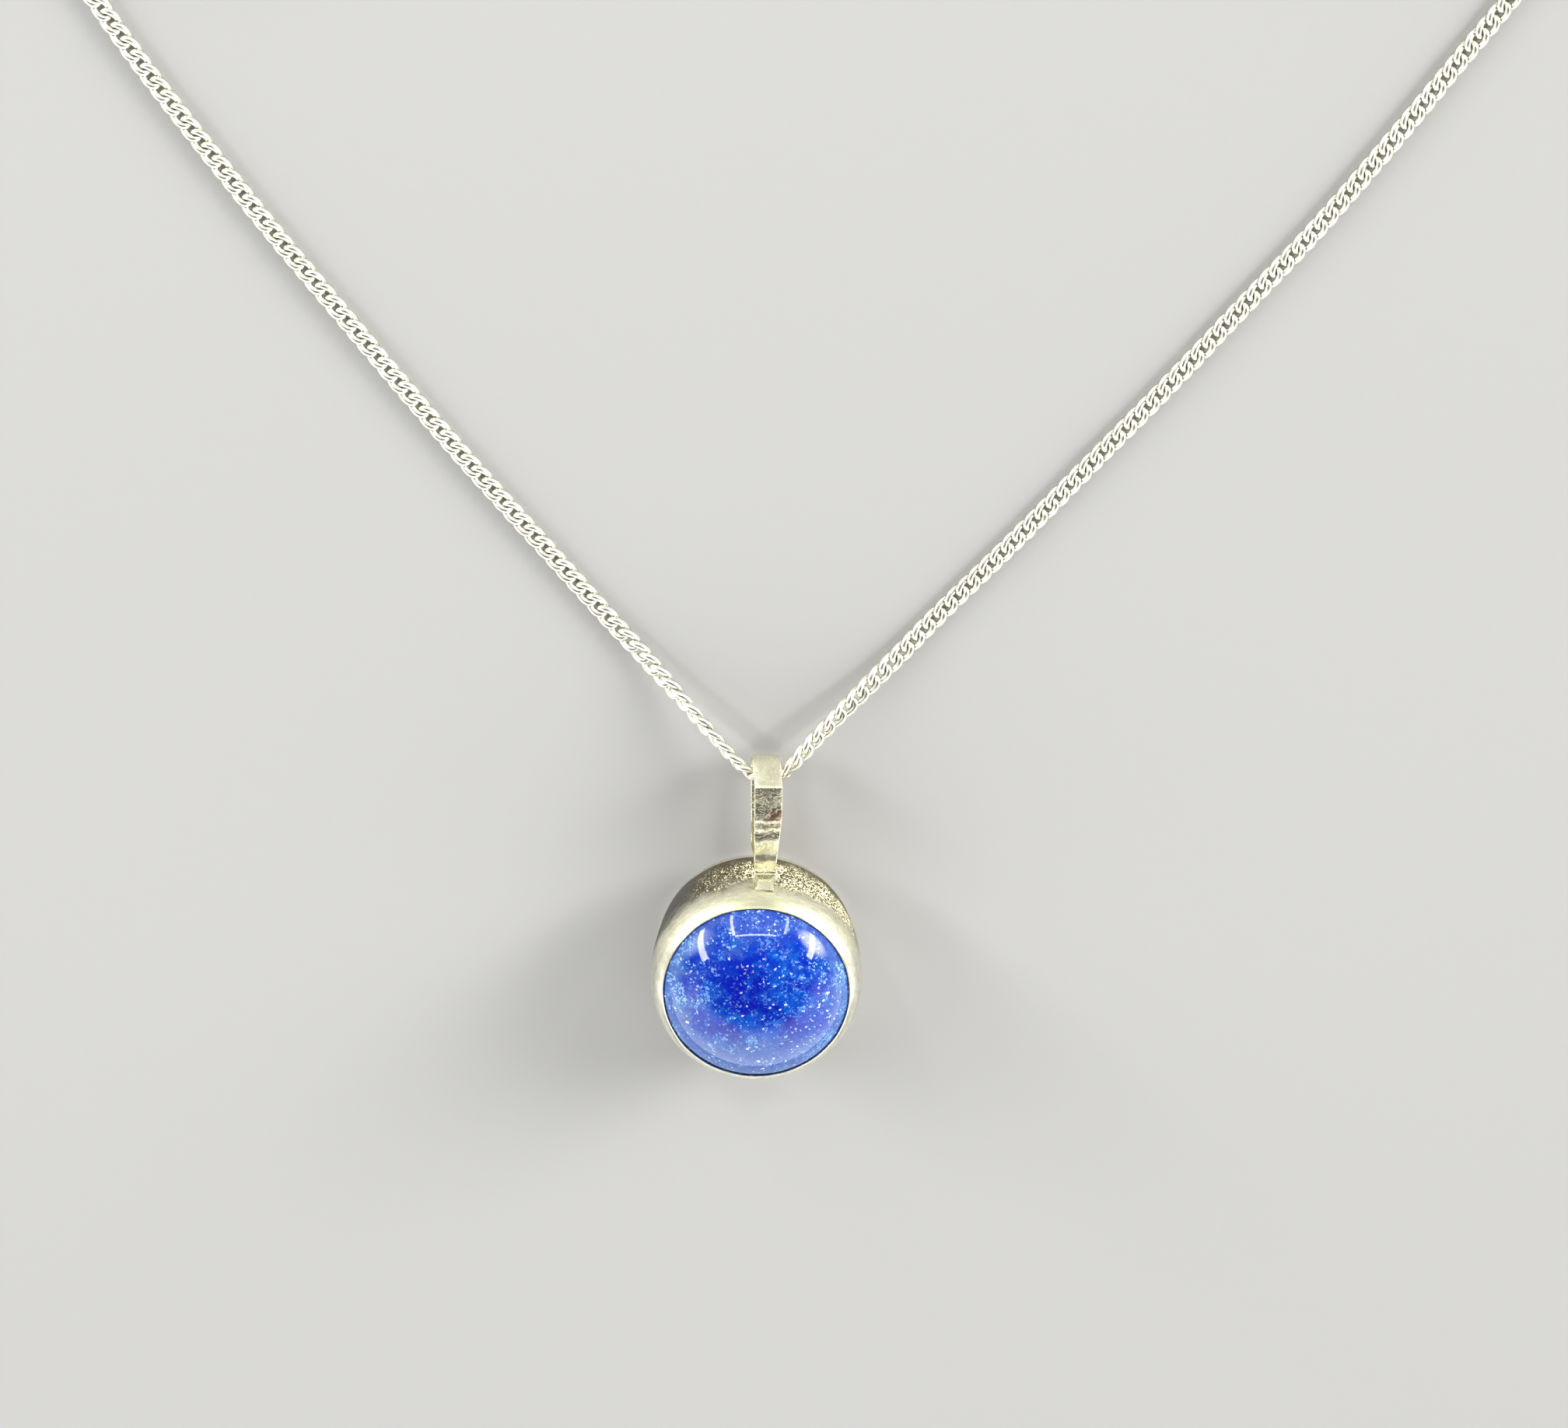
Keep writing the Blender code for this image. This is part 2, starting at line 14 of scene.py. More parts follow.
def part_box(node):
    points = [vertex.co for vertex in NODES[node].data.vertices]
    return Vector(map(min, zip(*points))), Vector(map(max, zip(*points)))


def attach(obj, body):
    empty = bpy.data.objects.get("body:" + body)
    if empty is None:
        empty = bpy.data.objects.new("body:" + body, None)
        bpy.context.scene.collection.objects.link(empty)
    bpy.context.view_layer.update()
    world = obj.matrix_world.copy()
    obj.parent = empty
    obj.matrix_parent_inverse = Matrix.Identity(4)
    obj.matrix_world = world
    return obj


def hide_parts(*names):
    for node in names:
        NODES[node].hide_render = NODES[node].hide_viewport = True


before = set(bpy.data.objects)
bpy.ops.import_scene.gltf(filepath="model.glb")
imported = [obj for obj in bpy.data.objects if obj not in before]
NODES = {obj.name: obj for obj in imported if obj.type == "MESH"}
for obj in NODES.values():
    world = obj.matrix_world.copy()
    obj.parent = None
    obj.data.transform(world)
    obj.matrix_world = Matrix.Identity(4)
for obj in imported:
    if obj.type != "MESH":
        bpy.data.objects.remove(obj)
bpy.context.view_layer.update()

MM = 0.001

# ---------------- the view and the sizes

# The camera, in metres and degrees
CAMERA_PLACE = (0.00174, 0.15389, 0.31257)
CAMERA_TILT = -23.82
CAMERA_LENS = 125.0             # mm, on a sensor of the width below
CAMERA_SENSOR = 36.0
CAMERA_NEAR = 0.005

# The chain's route from the bail outwards, in metres, as in the CAD model
BAIL_CENTRE = (0.00062, 0.01315, 0.0027)
LEFT_RUN = [
    (-0.00060, 0.01322, 0.00265), (-0.00270, 0.01535, 0.00210), (-0.00500, 0.01790, 0.00130),
    (-0.00710, 0.02030, 0.00085), (-0.00930, 0.02280, 0.00065), (-0.01340, 0.02780, 0.00065),
    (-0.01750, 0.03280, 0.00065), (-0.02150, 0.03790, 0.00065), (-0.02530, 0.04290, 0.00065),
    (-0.02910, 0.04790, 0.00065), (-0.03270, 0.05290, 0.00065), (-0.03620, 0.05790, 0.00065),
    (-0.03910, 0.06240, 0.00065), (-0.04069, 0.06500, 0.00065),
]
RIGHT_RUN = [
    (0.00185, 0.01322, 0.00265), (0.00410, 0.01550, 0.00205), (0.00670, 0.01800, 0.00130),
    (0.00910, 0.02040, 0.00085), (0.01140, 0.02290, 0.00065), (0.01610, 0.02790, 0.00065),
    (0.02070, 0.03300, 0.00065), (0.02520, 0.03800, 0.00065), (0.02960, 0.04310, 0.00065),
    (0.03390, 0.04810, 0.00065), (0.03790, 0.05320, 0.00065), (0.04180, 0.05840, 0.00065),
    (0.04480, 0.06240, 0.00065), (0.04658, 0.06494, 0.00065),
]
LEFT_COIL = (-0.0363, 0.0732)
RIGHT_COIL = (0.0427, 0.0734)
# The tail leaves the coil's top towards the other coil; its points are from the coil's centre
TAIL = [
    (0.00475, 0.00803, 0.00130), (0.00660, 0.00800, 0.00105), (0.00850, 0.00790, 0.00090),
    (0.01050, 0.00780, 0.00085), (0.01250, 0.00780, 0.00085),
]
COIL_INNER = 5.68
COIL_OUTER = 8.03
COIL_TURNS = 3
COIL_POINTS = 40                # for each turn
LEFT_ENTRY = 211.5              # degrees round the coil where the run meets it
RIGHT_ENTRY = -35.0
COIL_EXIT = 90.0
COIL_CLIMB = (0.47, 0.60)       # shares of the coil between which it climbs onto its own top
ROUTE_FINENESS = 12
BAIL_ROLL = 62                  # degrees that the chain is rolled by inside the bail
BAIL_REACH = (0.3, 2.5)         # from the bail's middle, where that roll passes into the run's own
LEFT_ROLL = (62, 17)            # degrees past the bail, and how far out the chain lies flat
RIGHT_ROLL = (38, 11)
ROLL_SPREAD = 2.0               # degrees from link to link

# Curb link: a round wire oval with its two ends twisted apart
CHAIN_WIDTH = 1.3
LINK_PITCH = 1.0
LINK_WIRE = 0.43
LINK_TWIST = -38                # degrees at each end
LINK_SQUARENESS = 0.82          # 1 would be an oval
INNER_LINK_SHARE = 0.91         # of the width, for the links that the bail turns round
LINK_SEGMENTS = 30
LINK_SIDES = 10
LINK_THICKNESS = 0.76           # of the chain lying flat
CREVICE_REACH = 0.13            # from the next link's wire, within which shade is painted

# Pendant, turned about the Z axis
WALL_HEIGHT = 7.3
BULGE_HEIGHT = 5.2
BACK_RADIUS = 6.14
BULGE_RADIUS = 6.68
RIM_RADIUS = 6.03
SHOULDER_FULLNESS = 2.5
SHOULDER_TOP = 6.6              # where the wall starts to roll over the stone
LIP_RADIUS = 5.82
# Away from the bail: how much wider the lip is, from one height to another
LIP_OPEN = (0.05, 6.9, 7.25)
# and how much tighter the wall is rolled under it, at a height and over how much of it
LIP_TIGHT = (0.10, 6.95, 0.25)
SHEET = 0.42
PLATE = 0.5
STONE_RADIUS = 6.0
STONE_BASE = 4.6
STONE_GIRDLE = 6.4
STONE_TOP = 9.5
AROUND = 192
# Unevenness of the wall: its size, waves round the wall, phase, and phase for each mm up
WALL_WAVES = ((0.016, 3, 0.7, 0.0), (0.011, 7, 2.1, 0.5), (0.007, 16, 0.0, 1.3))
WALL_INSET = 0.02               # keeps the waves inside the CAD wall

# Bail strap
BAIL_X = 0.62
STRAP = 0.35
STRAP_CORNER = 0.07
BAIL_TOP_WIDTH = 1.75
BAIL_FOOT_WIDTH = 1.38
BAIL_TAIL_WIDTH = 1.0
BAIL_LEG_Z = 4.6                # the front leg, level from the crease to the wall
BAIL_FOOT_BEND = 0.3
BAIL_ARC = (12.9, 2.7, 1.125)   # y and z of its middle, radius
BAIL_ARC_END = 36               # degrees; from there the strap rises straight to its crease
BAIL_CREASE_BEND = 0.15
BAIL_CREASE_Y = 12.9            # where the bend and the leg would meet without rounding
BAIL_TAIL_TOP = 6.12
BAIL_LEAN = 0.08                # sideways for each mm up
BAIL_DRIFT = 0.22               # sideways along the front leg, on its way to the wall
BAIL_DRIFT_Y = 12.0             # where that starts
BAIL_FRONT = (4.0, 4.4)         # heights between which the strap passes into its front leg
TAIL_TAPER = (0.96, 0.90, 0.80, 0.66, 0.5, 0.32, 0.14)  # of the thickness, up to the tail's tip
AIR = 0.03                      # between soldered or set pieces
# Facets filed across the front leg: from y, to y and how much the far end stands higher
BAIL_FACETS = ((7.05, 8.0, 0.22), (8.25, 9.6, 0.25), (10.0, 10.25, 0.035), (10.5, 10.75, 0.04))

# Solder round the bail's tail
SOLDER_X = -0.10                # from the bail's middle
SOLDER_LENGTH = 2.0             # of the strap that it follows, up to the tip
SOLDER_RADIUS = 0.13
SOLDER_SPREAD = 0.035
SOLDER_END = 0.4                # of that radius, across the tip
SOLDER_TIP = 0.05

# Findings
END_LINK_WIRE = 0.38
END_LINK_HOLE = (1.2, 0.66)
JUMP_RADIUS = 1.1
JUMP_WIRE = 0.4
EYE_RADIUS = 0.6
EYE_WIRE = 0.36
CLASP_RADIUS = 2.1
CLASP_TUBE = 0.6
CLASP_BORE = 0.41
GATE_WIRE = 0.34
MOUTH = 33
GATE_SPAN = (-40, 92)
SOCKET_SPAN = (308, 332)
SLOT_SPAN = (63, 151)
SLOT_WIDTH = 0.4
SPRING_SPAN = (95, 202)
SPRING_STOP = 205
SPRING_RADIUS = 0.3
SPRING_WIRE = 0.06
SPRING_TURNS = 7
KNOB_ANGLE = 72
KNOB_STEM = 0.13
KNOB_HEAD = 0.36

# Softboxes as the pendant sees them: azimuth from +Y towards +X, elevation, width, height (all in
# degrees), brightness and tilt
SOFTBOXES = {
    "window_left": (-62, 26, 6.5, 50, 14.0, -24),
    "window_right": (64, 28, 6, 38, 14.0, 25),
    "bar_left": (-25, 25, 2.6, 46, 15.0, -6),
    "bar_right": (31, 21, 2.4, 42, 12.0, 6),
    "bar_top": (-1, 52.5, 34, 2.1, 16.0, 0),
}
SOFTBOX_DISTANCE = 0.7          # metres
SOFTBOX_AIM = 0.008             # the height in metres that they are aimed at
# Soft glows round the two windows: azimuth, elevation, brightness
GLOWS = ((-62, 21, 4.0), (62, 23, 14.0))
GLOW_EDGE = 19                  # degrees from its centre, where a glow ends
GLOW_CORE = 3                   # and where it is full
WORLD_BASE = 0.09
FLOOR_HALF = 3.0                # metres
FLOOR_DROP = -0.00002


# ---------------- mesh helpers

def smoothstep(value, low, high):
    t = np.clip((value - low) / (high - low), 0.0, 1.0)
    return t * t * (3 - 2 * t)


def unit(vectors):
    return vectors / np.linalg.norm(vectors, axis=-1, keepdims=True)


def solid_mesh(name, verts, faces):
    """A mesh in metres from points in millimetres, with its faces turned outwards."""
    mesh = bpy.data.meshes.new(name)
    mesh.from_pydata((np.asarray(verts) * MM).tolist(), [], [tuple(face) for face in faces])
    mesh.validate()
    work = bmesh.new()
    work.from_mesh(mesh)
    bmesh.ops.recalc_face_normals(work, faces=work.faces)
    work.to_mesh(mesh)
    work.free()
    return mesh


def make_piece(name, verts, faces, material, body, slot, replaced=(), sharp=40):
    """An object from points in millimetres, riding on a body and standing for CAD nodes."""
    mesh = solid_mesh(name, verts, faces)
    mesh.shade_smooth()
    mesh.set_sharp_from_angle(angle=math.radians(sharp))
    mesh.materials.append(material)
    piece = bpy.data.objects.new(name, mesh)
    bpy.context.scene.collection.objects.link(piece)
    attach(piece, body)
    if replaced:
        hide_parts(*replaced)
    return piece


def skin(rings, closed_row=False, closed_rings=True):
    """Points and faces over a row of equal rings, or of equal open profiles."""
    rows = len(rings)
    sides = len(rings[0])
    verts = np.concatenate(rings)
    faces = []
    last = rows if closed_row else rows - 1
    for row in range(last):
        here = row * sides
        there = (row + 1) % rows * sides
        for side in range(sides if closed_rings else sides - 1):
            beside = (side + 1) % sides
            faces.append((here + side, there + side, there + beside, here + beside))
    if not closed_row:
        faces.append(tuple(range(sides)))
        faces.append(tuple(range((rows - 1) * sides, rows * sides)))
    return verts, faces


def turned(profile, closed, wobble=None):
    """Turn a profile of (radius, height) about Z; wobble(angle, radius, height) adds to the radius."""
    rings = []
    for index in range(AROUND):
        angle = math.tau * index / AROUND
        ring = []
        for radius, height in profile:
            reach = radius + (wobble(angle, radius, height) if wobble else 0.0)
            ring.append((reach * math.cos(angle), reach * math.sin(angle), height))
        rings.append(np.array(ring))
    return skin(rings, closed_row=True, closed_rings=closed)


def merged(verts, faces, distance=0.0005):
    """Join the points that a turned profile repeats on its axis."""
    keys = {}
    places = []
    kept = []
    for vert in verts:
        key = tuple(np.round(vert / distance).astype(int))
        if key not in keys:
            keys[key] = len(kept)
            kept.append(vert)
        places.append(keys[key])
    clean = []
    for face in faces:
        ring = tuple(dict.fromkeys(places[index] for index in face))
        if len(ring) > 2:
            clean.append(ring)
    return np.array(kept), clean


def arc(radius, start, end, count, centre=(0.0, 0.0)):
    """Points on an arc; angles in degrees."""
    angles = np.radians(np.linspace(start, end, count))
    return [(centre[0] + radius * math.cos(a), centre[1] + radius * math.sin(a)) for a in angles]


def wire_rings(points, radius, sides, closed=False, up=(0, 0, 1)):
    """Rings round a path of points, for a wire whose path is nearly flat or gently bent."""
    points = np.asarray(points, float)
    if closed:
        along = unit(np.roll(points, -1, axis=0) - np.roll(points, 1, axis=0))
    else:
        along = unit(np.gradient(points, axis=0))
    across = unit(np.cross(np.asarray(up, float), along))
    above = np.cross(along, across)
    turn = np.linspace(0, math.tau, sides, endpoint=False)
    radii = np.broadcast_to(radius, len(points))
    rings = []
    for point, side, rise, reach in zip(points, across, above, radii):
        rings.append(point + reach * (np.cos(turn)[:, None] * side + np.sin(turn)[:, None] * rise))
    return rings


# ---------------- the camera

def add_camera():
    """The photograph's view: a long lens, from above and from behind the bail."""
    data = bpy.data.cameras.new("camera")
    data.lens = CAMERA_LENS
    data.sensor_width = CAMERA_SENSOR
    data.clip_start = CAMERA_NEAR
    camera = bpy.data.objects.new("camera", data)
    camera.location = CAMERA_PLACE
    camera.rotation_euler = (math.radians(CAMERA_TILT), 0.0, 0.0)
    bpy.context.scene.collection.objects.link(camera)
    bpy.context.scene.camera = camera


# ---------------- the chain

def smooth_route(points):
    """Dense points on a Catmull-Rom curve through the given points."""
    knots = np.array(points, float)
    knots = np.vstack([2 * knots[0] - knots[1], knots, 2 * knots[-1] - knots[-2]])
    dense = []
    for before, start, end, after in zip(knots, knots[1:], knots[2:], knots[3:]):
        for t in np.arange(ROUTE_FINENESS) / ROUTE_FINENESS:
            dense.append(0.5 * (
                2 * start + (end - before) * t
                + (2 * before - 5 * start + 4 * end - after) * t ** 2
                + (3 * start - before - 3 * end + after) * t ** 3
            ))
    dense.append(knots[-2])
    return np.array(dense)


def arc_lengths(points):
    return np.concatenate([[0.0], np.cumsum(np.linalg.norm(np.diff(points, axis=0), axis=1))])


def coil_points(centre, entry, way):
    """One coil: inwards on the floor, up a layer, and outwards on top; way is 1 or -1."""
    start = math.radians(entry)
    end = math.radians(COIL_EXIT) + way * math.tau * COIL_TURNS
    count = COIL_POINTS * COIL_TURNS
    points = []
    for index in range(count + 1):
        share = index / count
        angle = start + (end - start) * share
        radius = COIL_OUTER - (COIL_OUTER - COIL_INNER) * min(2 * share, 2 - 2 * share)
        height = LINK_THICKNESS / 2 + LINK_THICKNESS * smoothstep(share, *COIL_CLIMB)
        x = centre[0] / MM + radius * math.cos(angle)
        y = centre[1] / MM + radius * math.sin(angle)
        points.append((x, y, height))
    return np.array(points)


def half_route(run, centre, entry, way, rolled):
    """The points and the roll of one half, from the bail to the chain's end, in millimetres."""
    run = smooth_route(np.array([BAIL_CENTRE, *run]) / MM)
    away = arc_lengths(run)
    past, flat_from = rolled
    roll = math.radians(BAIL_ROLL - past) * (1 - smoothstep(away, *BAIL_REACH))
    roll += math.radians(past) * (1 - smoothstep(away, BAIL_REACH[1], flat_from))
    run[:, 2] -= (CHAIN_WIDTH - LINK_THICKNESS) / 2 * (1 - np.sin(roll))
    coil = coil_points(centre, entry, way)
    tail = np.array([(centre[0] - way * x, centre[1] + y, z) for x, y, z in TAIL]) / MM
    tail[:-1, 2] -= (CHAIN_WIDTH - LINK_THICKNESS) / 2
    tail = smooth_route(np.vstack([coil[-8], coil[-1], tail]))[ROUTE_FINENESS:]
    points = np.vstack([run, coil, tail[1:]])
    rolls = np.concatenate([roll, np.zeros(len(coil) + len(tail) - 1)])
    return points, rolls


def link_mesh():
    """One link along +X about the origin: its points, its faces and its points' crevice values."""
    half_length = (LINK_PITCH + LINK_WIRE) / 2
    half_width = (CHAIN_WIDTH - LINK_WIRE) / 2
    twist = math.radians(LINK_TWIST)

    def middle(t):
        along = half_length * np.cos(t)
        across = half_width * np.sign(np.sin(t)) * np.abs(np.sin(t)) ** LINK_SQUARENESS
        turn = twist * np.cos(t)
        return np.stack([along, across * np.cos(turn), across * np.sin(turn)], axis=1)

    t = np.linspace(0, math.tau, LINK_SEGMENTS, endpoint=False) + math.pi / LINK_SEGMENTS
    centre = middle(t)
    along = unit(middle(t + 0.02) - middle(t - 0.02))
    outward = centre - along * (centre * along).sum(1)[:, None]
    outward = unit(outward)
    upward = np.cross(along, outward)
    turn = np.linspace(0, math.tau, LINK_SIDES, endpoint=False)
    cosine, sine = np.cos(turn)[None, :, None], np.sin(turn)[None, :, None]
    ring = outward[:, None] * cosine + upward[:, None] * sine
    verts = (centre[:, None] + ring * LINK_WIRE / 2).reshape(-1, 3)
    fine = middle(np.linspace(0, math.tau, 200))
    others = np.vstack([fine + (LINK_PITCH, 0, 0), fine - (LINK_PITCH, 0, 0)])
    gap = np.linalg.norm(verts[:, None] - others[None], axis=2).min(axis=1) - LINK_WIRE / 2
    crevice = 1 - smoothstep(gap, 0.0, CREVICE_REACH)
    rings = list(verts.reshape(LINK_SEGMENTS, LINK_SIDES, 3))
    return verts, np.array(skin(rings, closed_row=True)[1]), crevice


def add_float(mesh, name, values):
    layer = mesh.attributes.new(name, "FLOAT", "POINT")
    layer.data.foreach_set("value", np.asarray(values, np.float32))


def add_chain(material):
    """Every link, in two halves that meet inside the bail, and the line that each half follows."""
    left, left_roll = half_route(LEFT_RUN, LEFT_COIL, LEFT_ENTRY, -1, LEFT_ROLL)
    right, right_roll = half_route(RIGHT_RUN, RIGHT_COIL, RIGHT_ENTRY, 1, RIGHT_ROLL)
    points = np.vstack([left[::-1], right[1:]])
    rolls = np.concatenate([left_roll[::-1], right_roll[1:]])
    lengths = arc_lengths(points)
    count = round(lengths[-1] / LINK_PITCH)
    pitch = lengths[-1] / count
    middle = lengths[len(left) - 1]
    template, faces, crevice = link_mesh()
    random = np.random.default_rng(11)
    kept = {"left": [], "right": []}
    for index in range(count):
        place = (index + 0.5) * pitch
        spots = [place, place + 0.3 * pitch, place - 0.3 * pitch]
        here, ahead, behind = (
            np.array([np.interp(spot, lengths, points[:, axis]) for axis in range(3)])
            for spot in spots
        )
        along = unit(ahead - behind)
        side = unit(np.cross((0.0, 0.0, 1.0), along))
        up = np.cross(along, side)
        roll = np.interp(place, lengths, rolls) + random.normal(0, math.radians(ROLL_SPREAD))
        level = side * math.cos(roll) + up * math.sin(roll)
        above = up * math.cos(roll) - side * math.sin(roll)
        slim = INNER_LINK_SHARE if abs(place - middle) < LINK_PITCH else 1.0
        across = template[:, 1:2] * level + template[:, 2:] * above
        verts = here + template[:, :1] * along + slim * across
        kept["left" if place < middle else "right"].append((verts, random.random()))
    halves = {}
    for name, links in kept.items():
        verts = np.vstack([link for link, _ in links])
        all_faces = np.vstack([faces + len(template) * index for index in range(len(links))])
        piece = make_piece(
            f"chain_{name}_links", verts, all_faces, material, "chain", "chain_silver",
            [f"chain_{name}_run", f"chain_{name}_coil", f"chain_{name}_tail"], sharp=180,
        )
        add_float(piece.data, "crevice", np.tile(crevice, len(links)))
        add_float(piece.data, "each", np.repeat([value for _, value in links], len(template)))
        halves[name] = (piece, (left if name == "left" else right) * MM)
    return halves


# ---------------- the pendant

def pendant_piece(name, shape, material, slot, replaced, sharp=50):
    make_piece(name, *shape, material, "pendant", slot, replaced, sharp)


def wall_outer(height):
    """Outer radius of the wall: a shallow barrel that rounds over into the rim."""
    if height < BULGE_HEIGHT:
        drop = (BULGE_HEIGHT - height) / BULGE_HEIGHT
        return BULGE_RADIUS - (BULGE_RADIUS - BACK_RADIUS) * drop ** 2
    rise = (height - BULGE_HEIGHT) / (WALL_HEIGHT - BULGE_HEIGHT)
    return BULGE_RADIUS - (BULGE_RADIUS - RIM_RADIUS) * rise ** SHOULDER_FULLNESS


def hand_wobble(angle, radius, height):
    """The unevenness of a wall raised by hand, and its lip's different roll away from the bail."""
    wave = sum(
        size * math.sin(count * angle + phase + drift * height)
        for size, count, phase, drift in WALL_WAVES
    )
    far = max(-math.sin(angle), 0.0)
    if radius < LIP_RADIUS + 0.2:
        roll = LIP_OPEN[0] * float(smoothstep(height, *LIP_OPEN[1:]))
    else:
        roll = -LIP_TIGHT[0] * math.exp(-((height - LIP_TIGHT[1]) / LIP_TIGHT[2]) ** 2)
    return wave - WALL_INSET + far * roll


def curve(start, pull, end, count):
    """Points after the start on a quadratic curve."""
    return [
        tuple((1 - t) ** 2 * a + 2 * t * (1 - t) * b + t * t * c for a, b, c in zip(start, pull, end))
        for t in np.linspace(0, 1, count + 1)[1:]
    ]


def add_bezel_wall(material):
    heights = np.linspace(PLATE + AIR, SHOULDER_TOP, 44)
    outer = [(wall_outer(height), height) for height in heights]
    lip = (LIP_RADIUS + 0.08, WALL_HEIGHT - 0.015)
    outer += curve(outer[-1], (LIP_RADIUS + 0.47, WALL_HEIGHT - 0.30), lip, 16)
    edge = (LIP_RADIUS, WALL_HEIGHT - 0.08)
    outer += curve(lip, (LIP_RADIUS + 0.005, WALL_HEIGHT + 0.005), edge, 6)
    inner = [(LIP_RADIUS + 0.01, WALL_HEIGHT - 0.16), (LIP_RADIUS + 0.04, WALL_HEIGHT - 0.26)]
    inside = [(min(wall_outer(height), 6.62) - SHEET, height) for height in heights[:36:5]]
    pendant_piece(
        "bezel_shell", turned(outer + inner + inside[::-1], True, hand_wobble), material,
        "bezel_silver", ["bezel_wall"], 60,
    )


def add_back_plate(material):
    edge = arc(0.12, -90, 0, 6, (BACK_RADIUS - 0.12, 0.12))
    profile = [(0.0, 0.0)] + [(BACK_RADIUS * share, 0.0) for share in (0.25, 0.5, 0.75)] + edge
    profile += [(BACK_RADIUS, PLATE - 0.04), (BACK_RADIUS - 0.04, PLATE), (0.0, PLATE)]
    shape = merged(*turned(profile, False))
    pendant_piece("back_disc", shape, material, "bezel_silver", ["back_plate"])


def add_cabochon(material):
    """The stone: a polished dome, half an ellipse in section, over an upright girdle."""
    profile = [(0.0, STONE_BASE), (STONE_RADIUS - 0.2, STONE_BASE), (STONE_RADIUS, STONE_BASE + 0.2)]
    rise = STONE_TOP - STONE_GIRDLE
    steps = 56
    for step in range(steps):
        angle = math.pi / 2 * step / steps
        profile.append((STONE_RADIUS * math.cos(angle), STONE_GIRDLE + rise * math.sin(angle)))
    profile.append((0.0, STONE_TOP))
    pendant_piece("lapis_cabochon", merged(*turned(profile, False)), material, "lapis", ["cabochon"])


def bail_line():
    """(y, z) and the width along the strap's middle, from the back leg round to the tail's top."""
    middle_y, middle_z, radius = BAIL_ARC
    back_z = middle_z - radius
    start = wall_outer(back_z) + AIR
    line = [(start + (middle_y - start) * share, back_z) for share in np.linspace(0, 0.96, 14)]
    line += arc(radius, -90, BAIL_ARC_END, 20, (middle_y, middle_z))
    from_y, from_z = line[-1]
    turn = math.atan2(from_y - BAIL_CREASE_Y, BAIL_LEG_Z - from_z)
    cut = BAIL_CREASE_BEND * math.tan((math.pi / 2 - turn) / 2)
    to_y = BAIL_CREASE_Y + cut * math.sin(turn)
    to_z = BAIL_LEG_Z - cut * math.cos(turn)
    line += [
        (from_y + (to_y - from_y) * share, from_z + (to_z - from_z) * share)
        for share in np.linspace(0.12, 0.9, 6)
    ]
    middle = (BAIL_CREASE_Y - cut, BAIL_LEG_Z - BAIL_CREASE_BEND)
    line += arc(BAIL_CREASE_BEND, math.degrees(turn), 90, 7, middle)
    arc_end = len(line) - 1
    foot = wall_outer(BAIL_LEG_Z) + STRAP / 2 + AIR
    from_y = line[-1][0]
    to_y = foot + BAIL_FOOT_BEND
    for share in np.linspace(0.03, 1.0, 60):
        # The leg bows a little and its facets make shallow waves
        bow = 0.012 * math.sin(math.pi * share)
        bow += 0.016 * math.sin(19.0 * share + 1.0) * min(8 * share, 1.0)
        line.append((from_y + (to_y - from_y) * share, BAIL_LEG_Z + bow))
    line += arc(BAIL_FOOT_BEND, 262, 186, 7, (foot + BAIL_FOOT_BEND, BAIL_LEG_Z + BAIL_FOOT_BEND))
    foot_end = len(line) - 1
    for height in np.linspace(BAIL_LEG_Z + 0.42, BAIL_TAIL_TOP, 12):
        line.append((wall_outer(height) + STRAP / 2 + AIR, height))
    line = np.array(line)
    run = arc_lengths(line)
    leg = run[foot_end] - run[arc_end]
    slim = smoothstep(run, run[arc_end] + 0.25 * leg, run[foot_end] - 0.2)
    tail = smoothstep(run, run[foot_end] - 0.05, run[foot_end] + 0.45)
    back = 1 - smoothstep(run, 0.0, 1.5)
    width = BAIL_TOP_WIDTH - (BAIL_TOP_WIDTH - BAIL_FOOT_WIDTH) * np.maximum(slim, back)
    width -= (BAIL_FOOT_WIDTH - BAIL_TAIL_WIDTH) * tail
    return line, width


def add_bail(material):
    """One flat strap with softened edges, bent into a leaning loop and thinned to a tip."""
    line, widths = bail_line()
    tangent = unit(np.gradient(line, axis=0))
    thickness = np.full(len(line), STRAP)
    tip = slice(-len(TAIL_TAPER), None)
    thickness[tip] *= TAIL_TAPER
    line[tip, 0] -= (STRAP - thickness[tip]) / 2
    foot_y = wall_outer(BAIL_LEG_Z)
    rings = []
    for (y, z), (ty, tz), width, thick in zip(line, tangent, widths, thickness):
        corner = min(STRAP_CORNER, thick * 0.3)
        outline = []
        for sx, sy, start in ((1, 1, 0), (-1, 1, 90), (-1, -1, 180), (1, -1, 270)):
            centre = (sx * (width / 2 - corner), sy * (thick / 2 - corner))
            outline += arc(corner, start, start + 90, 4, centre)
        x = BAIL_X + (min(z, BAIL_LEG_Z) - BAIL_ARC[1]) * BAIL_LEAN
        drift = BAIL_DRIFT * float(smoothstep(-y, -BAIL_DRIFT_Y, -foot_y))
        x -= drift * float(smoothstep(z, *BAIL_FRONT))
        rings.append(np.array([(x + u, y + v * tz, z - v * ty) for u, v in outline]))
    pendant_piece("bail_strap", skin(rings), material, "bail_silver", ["bail"])


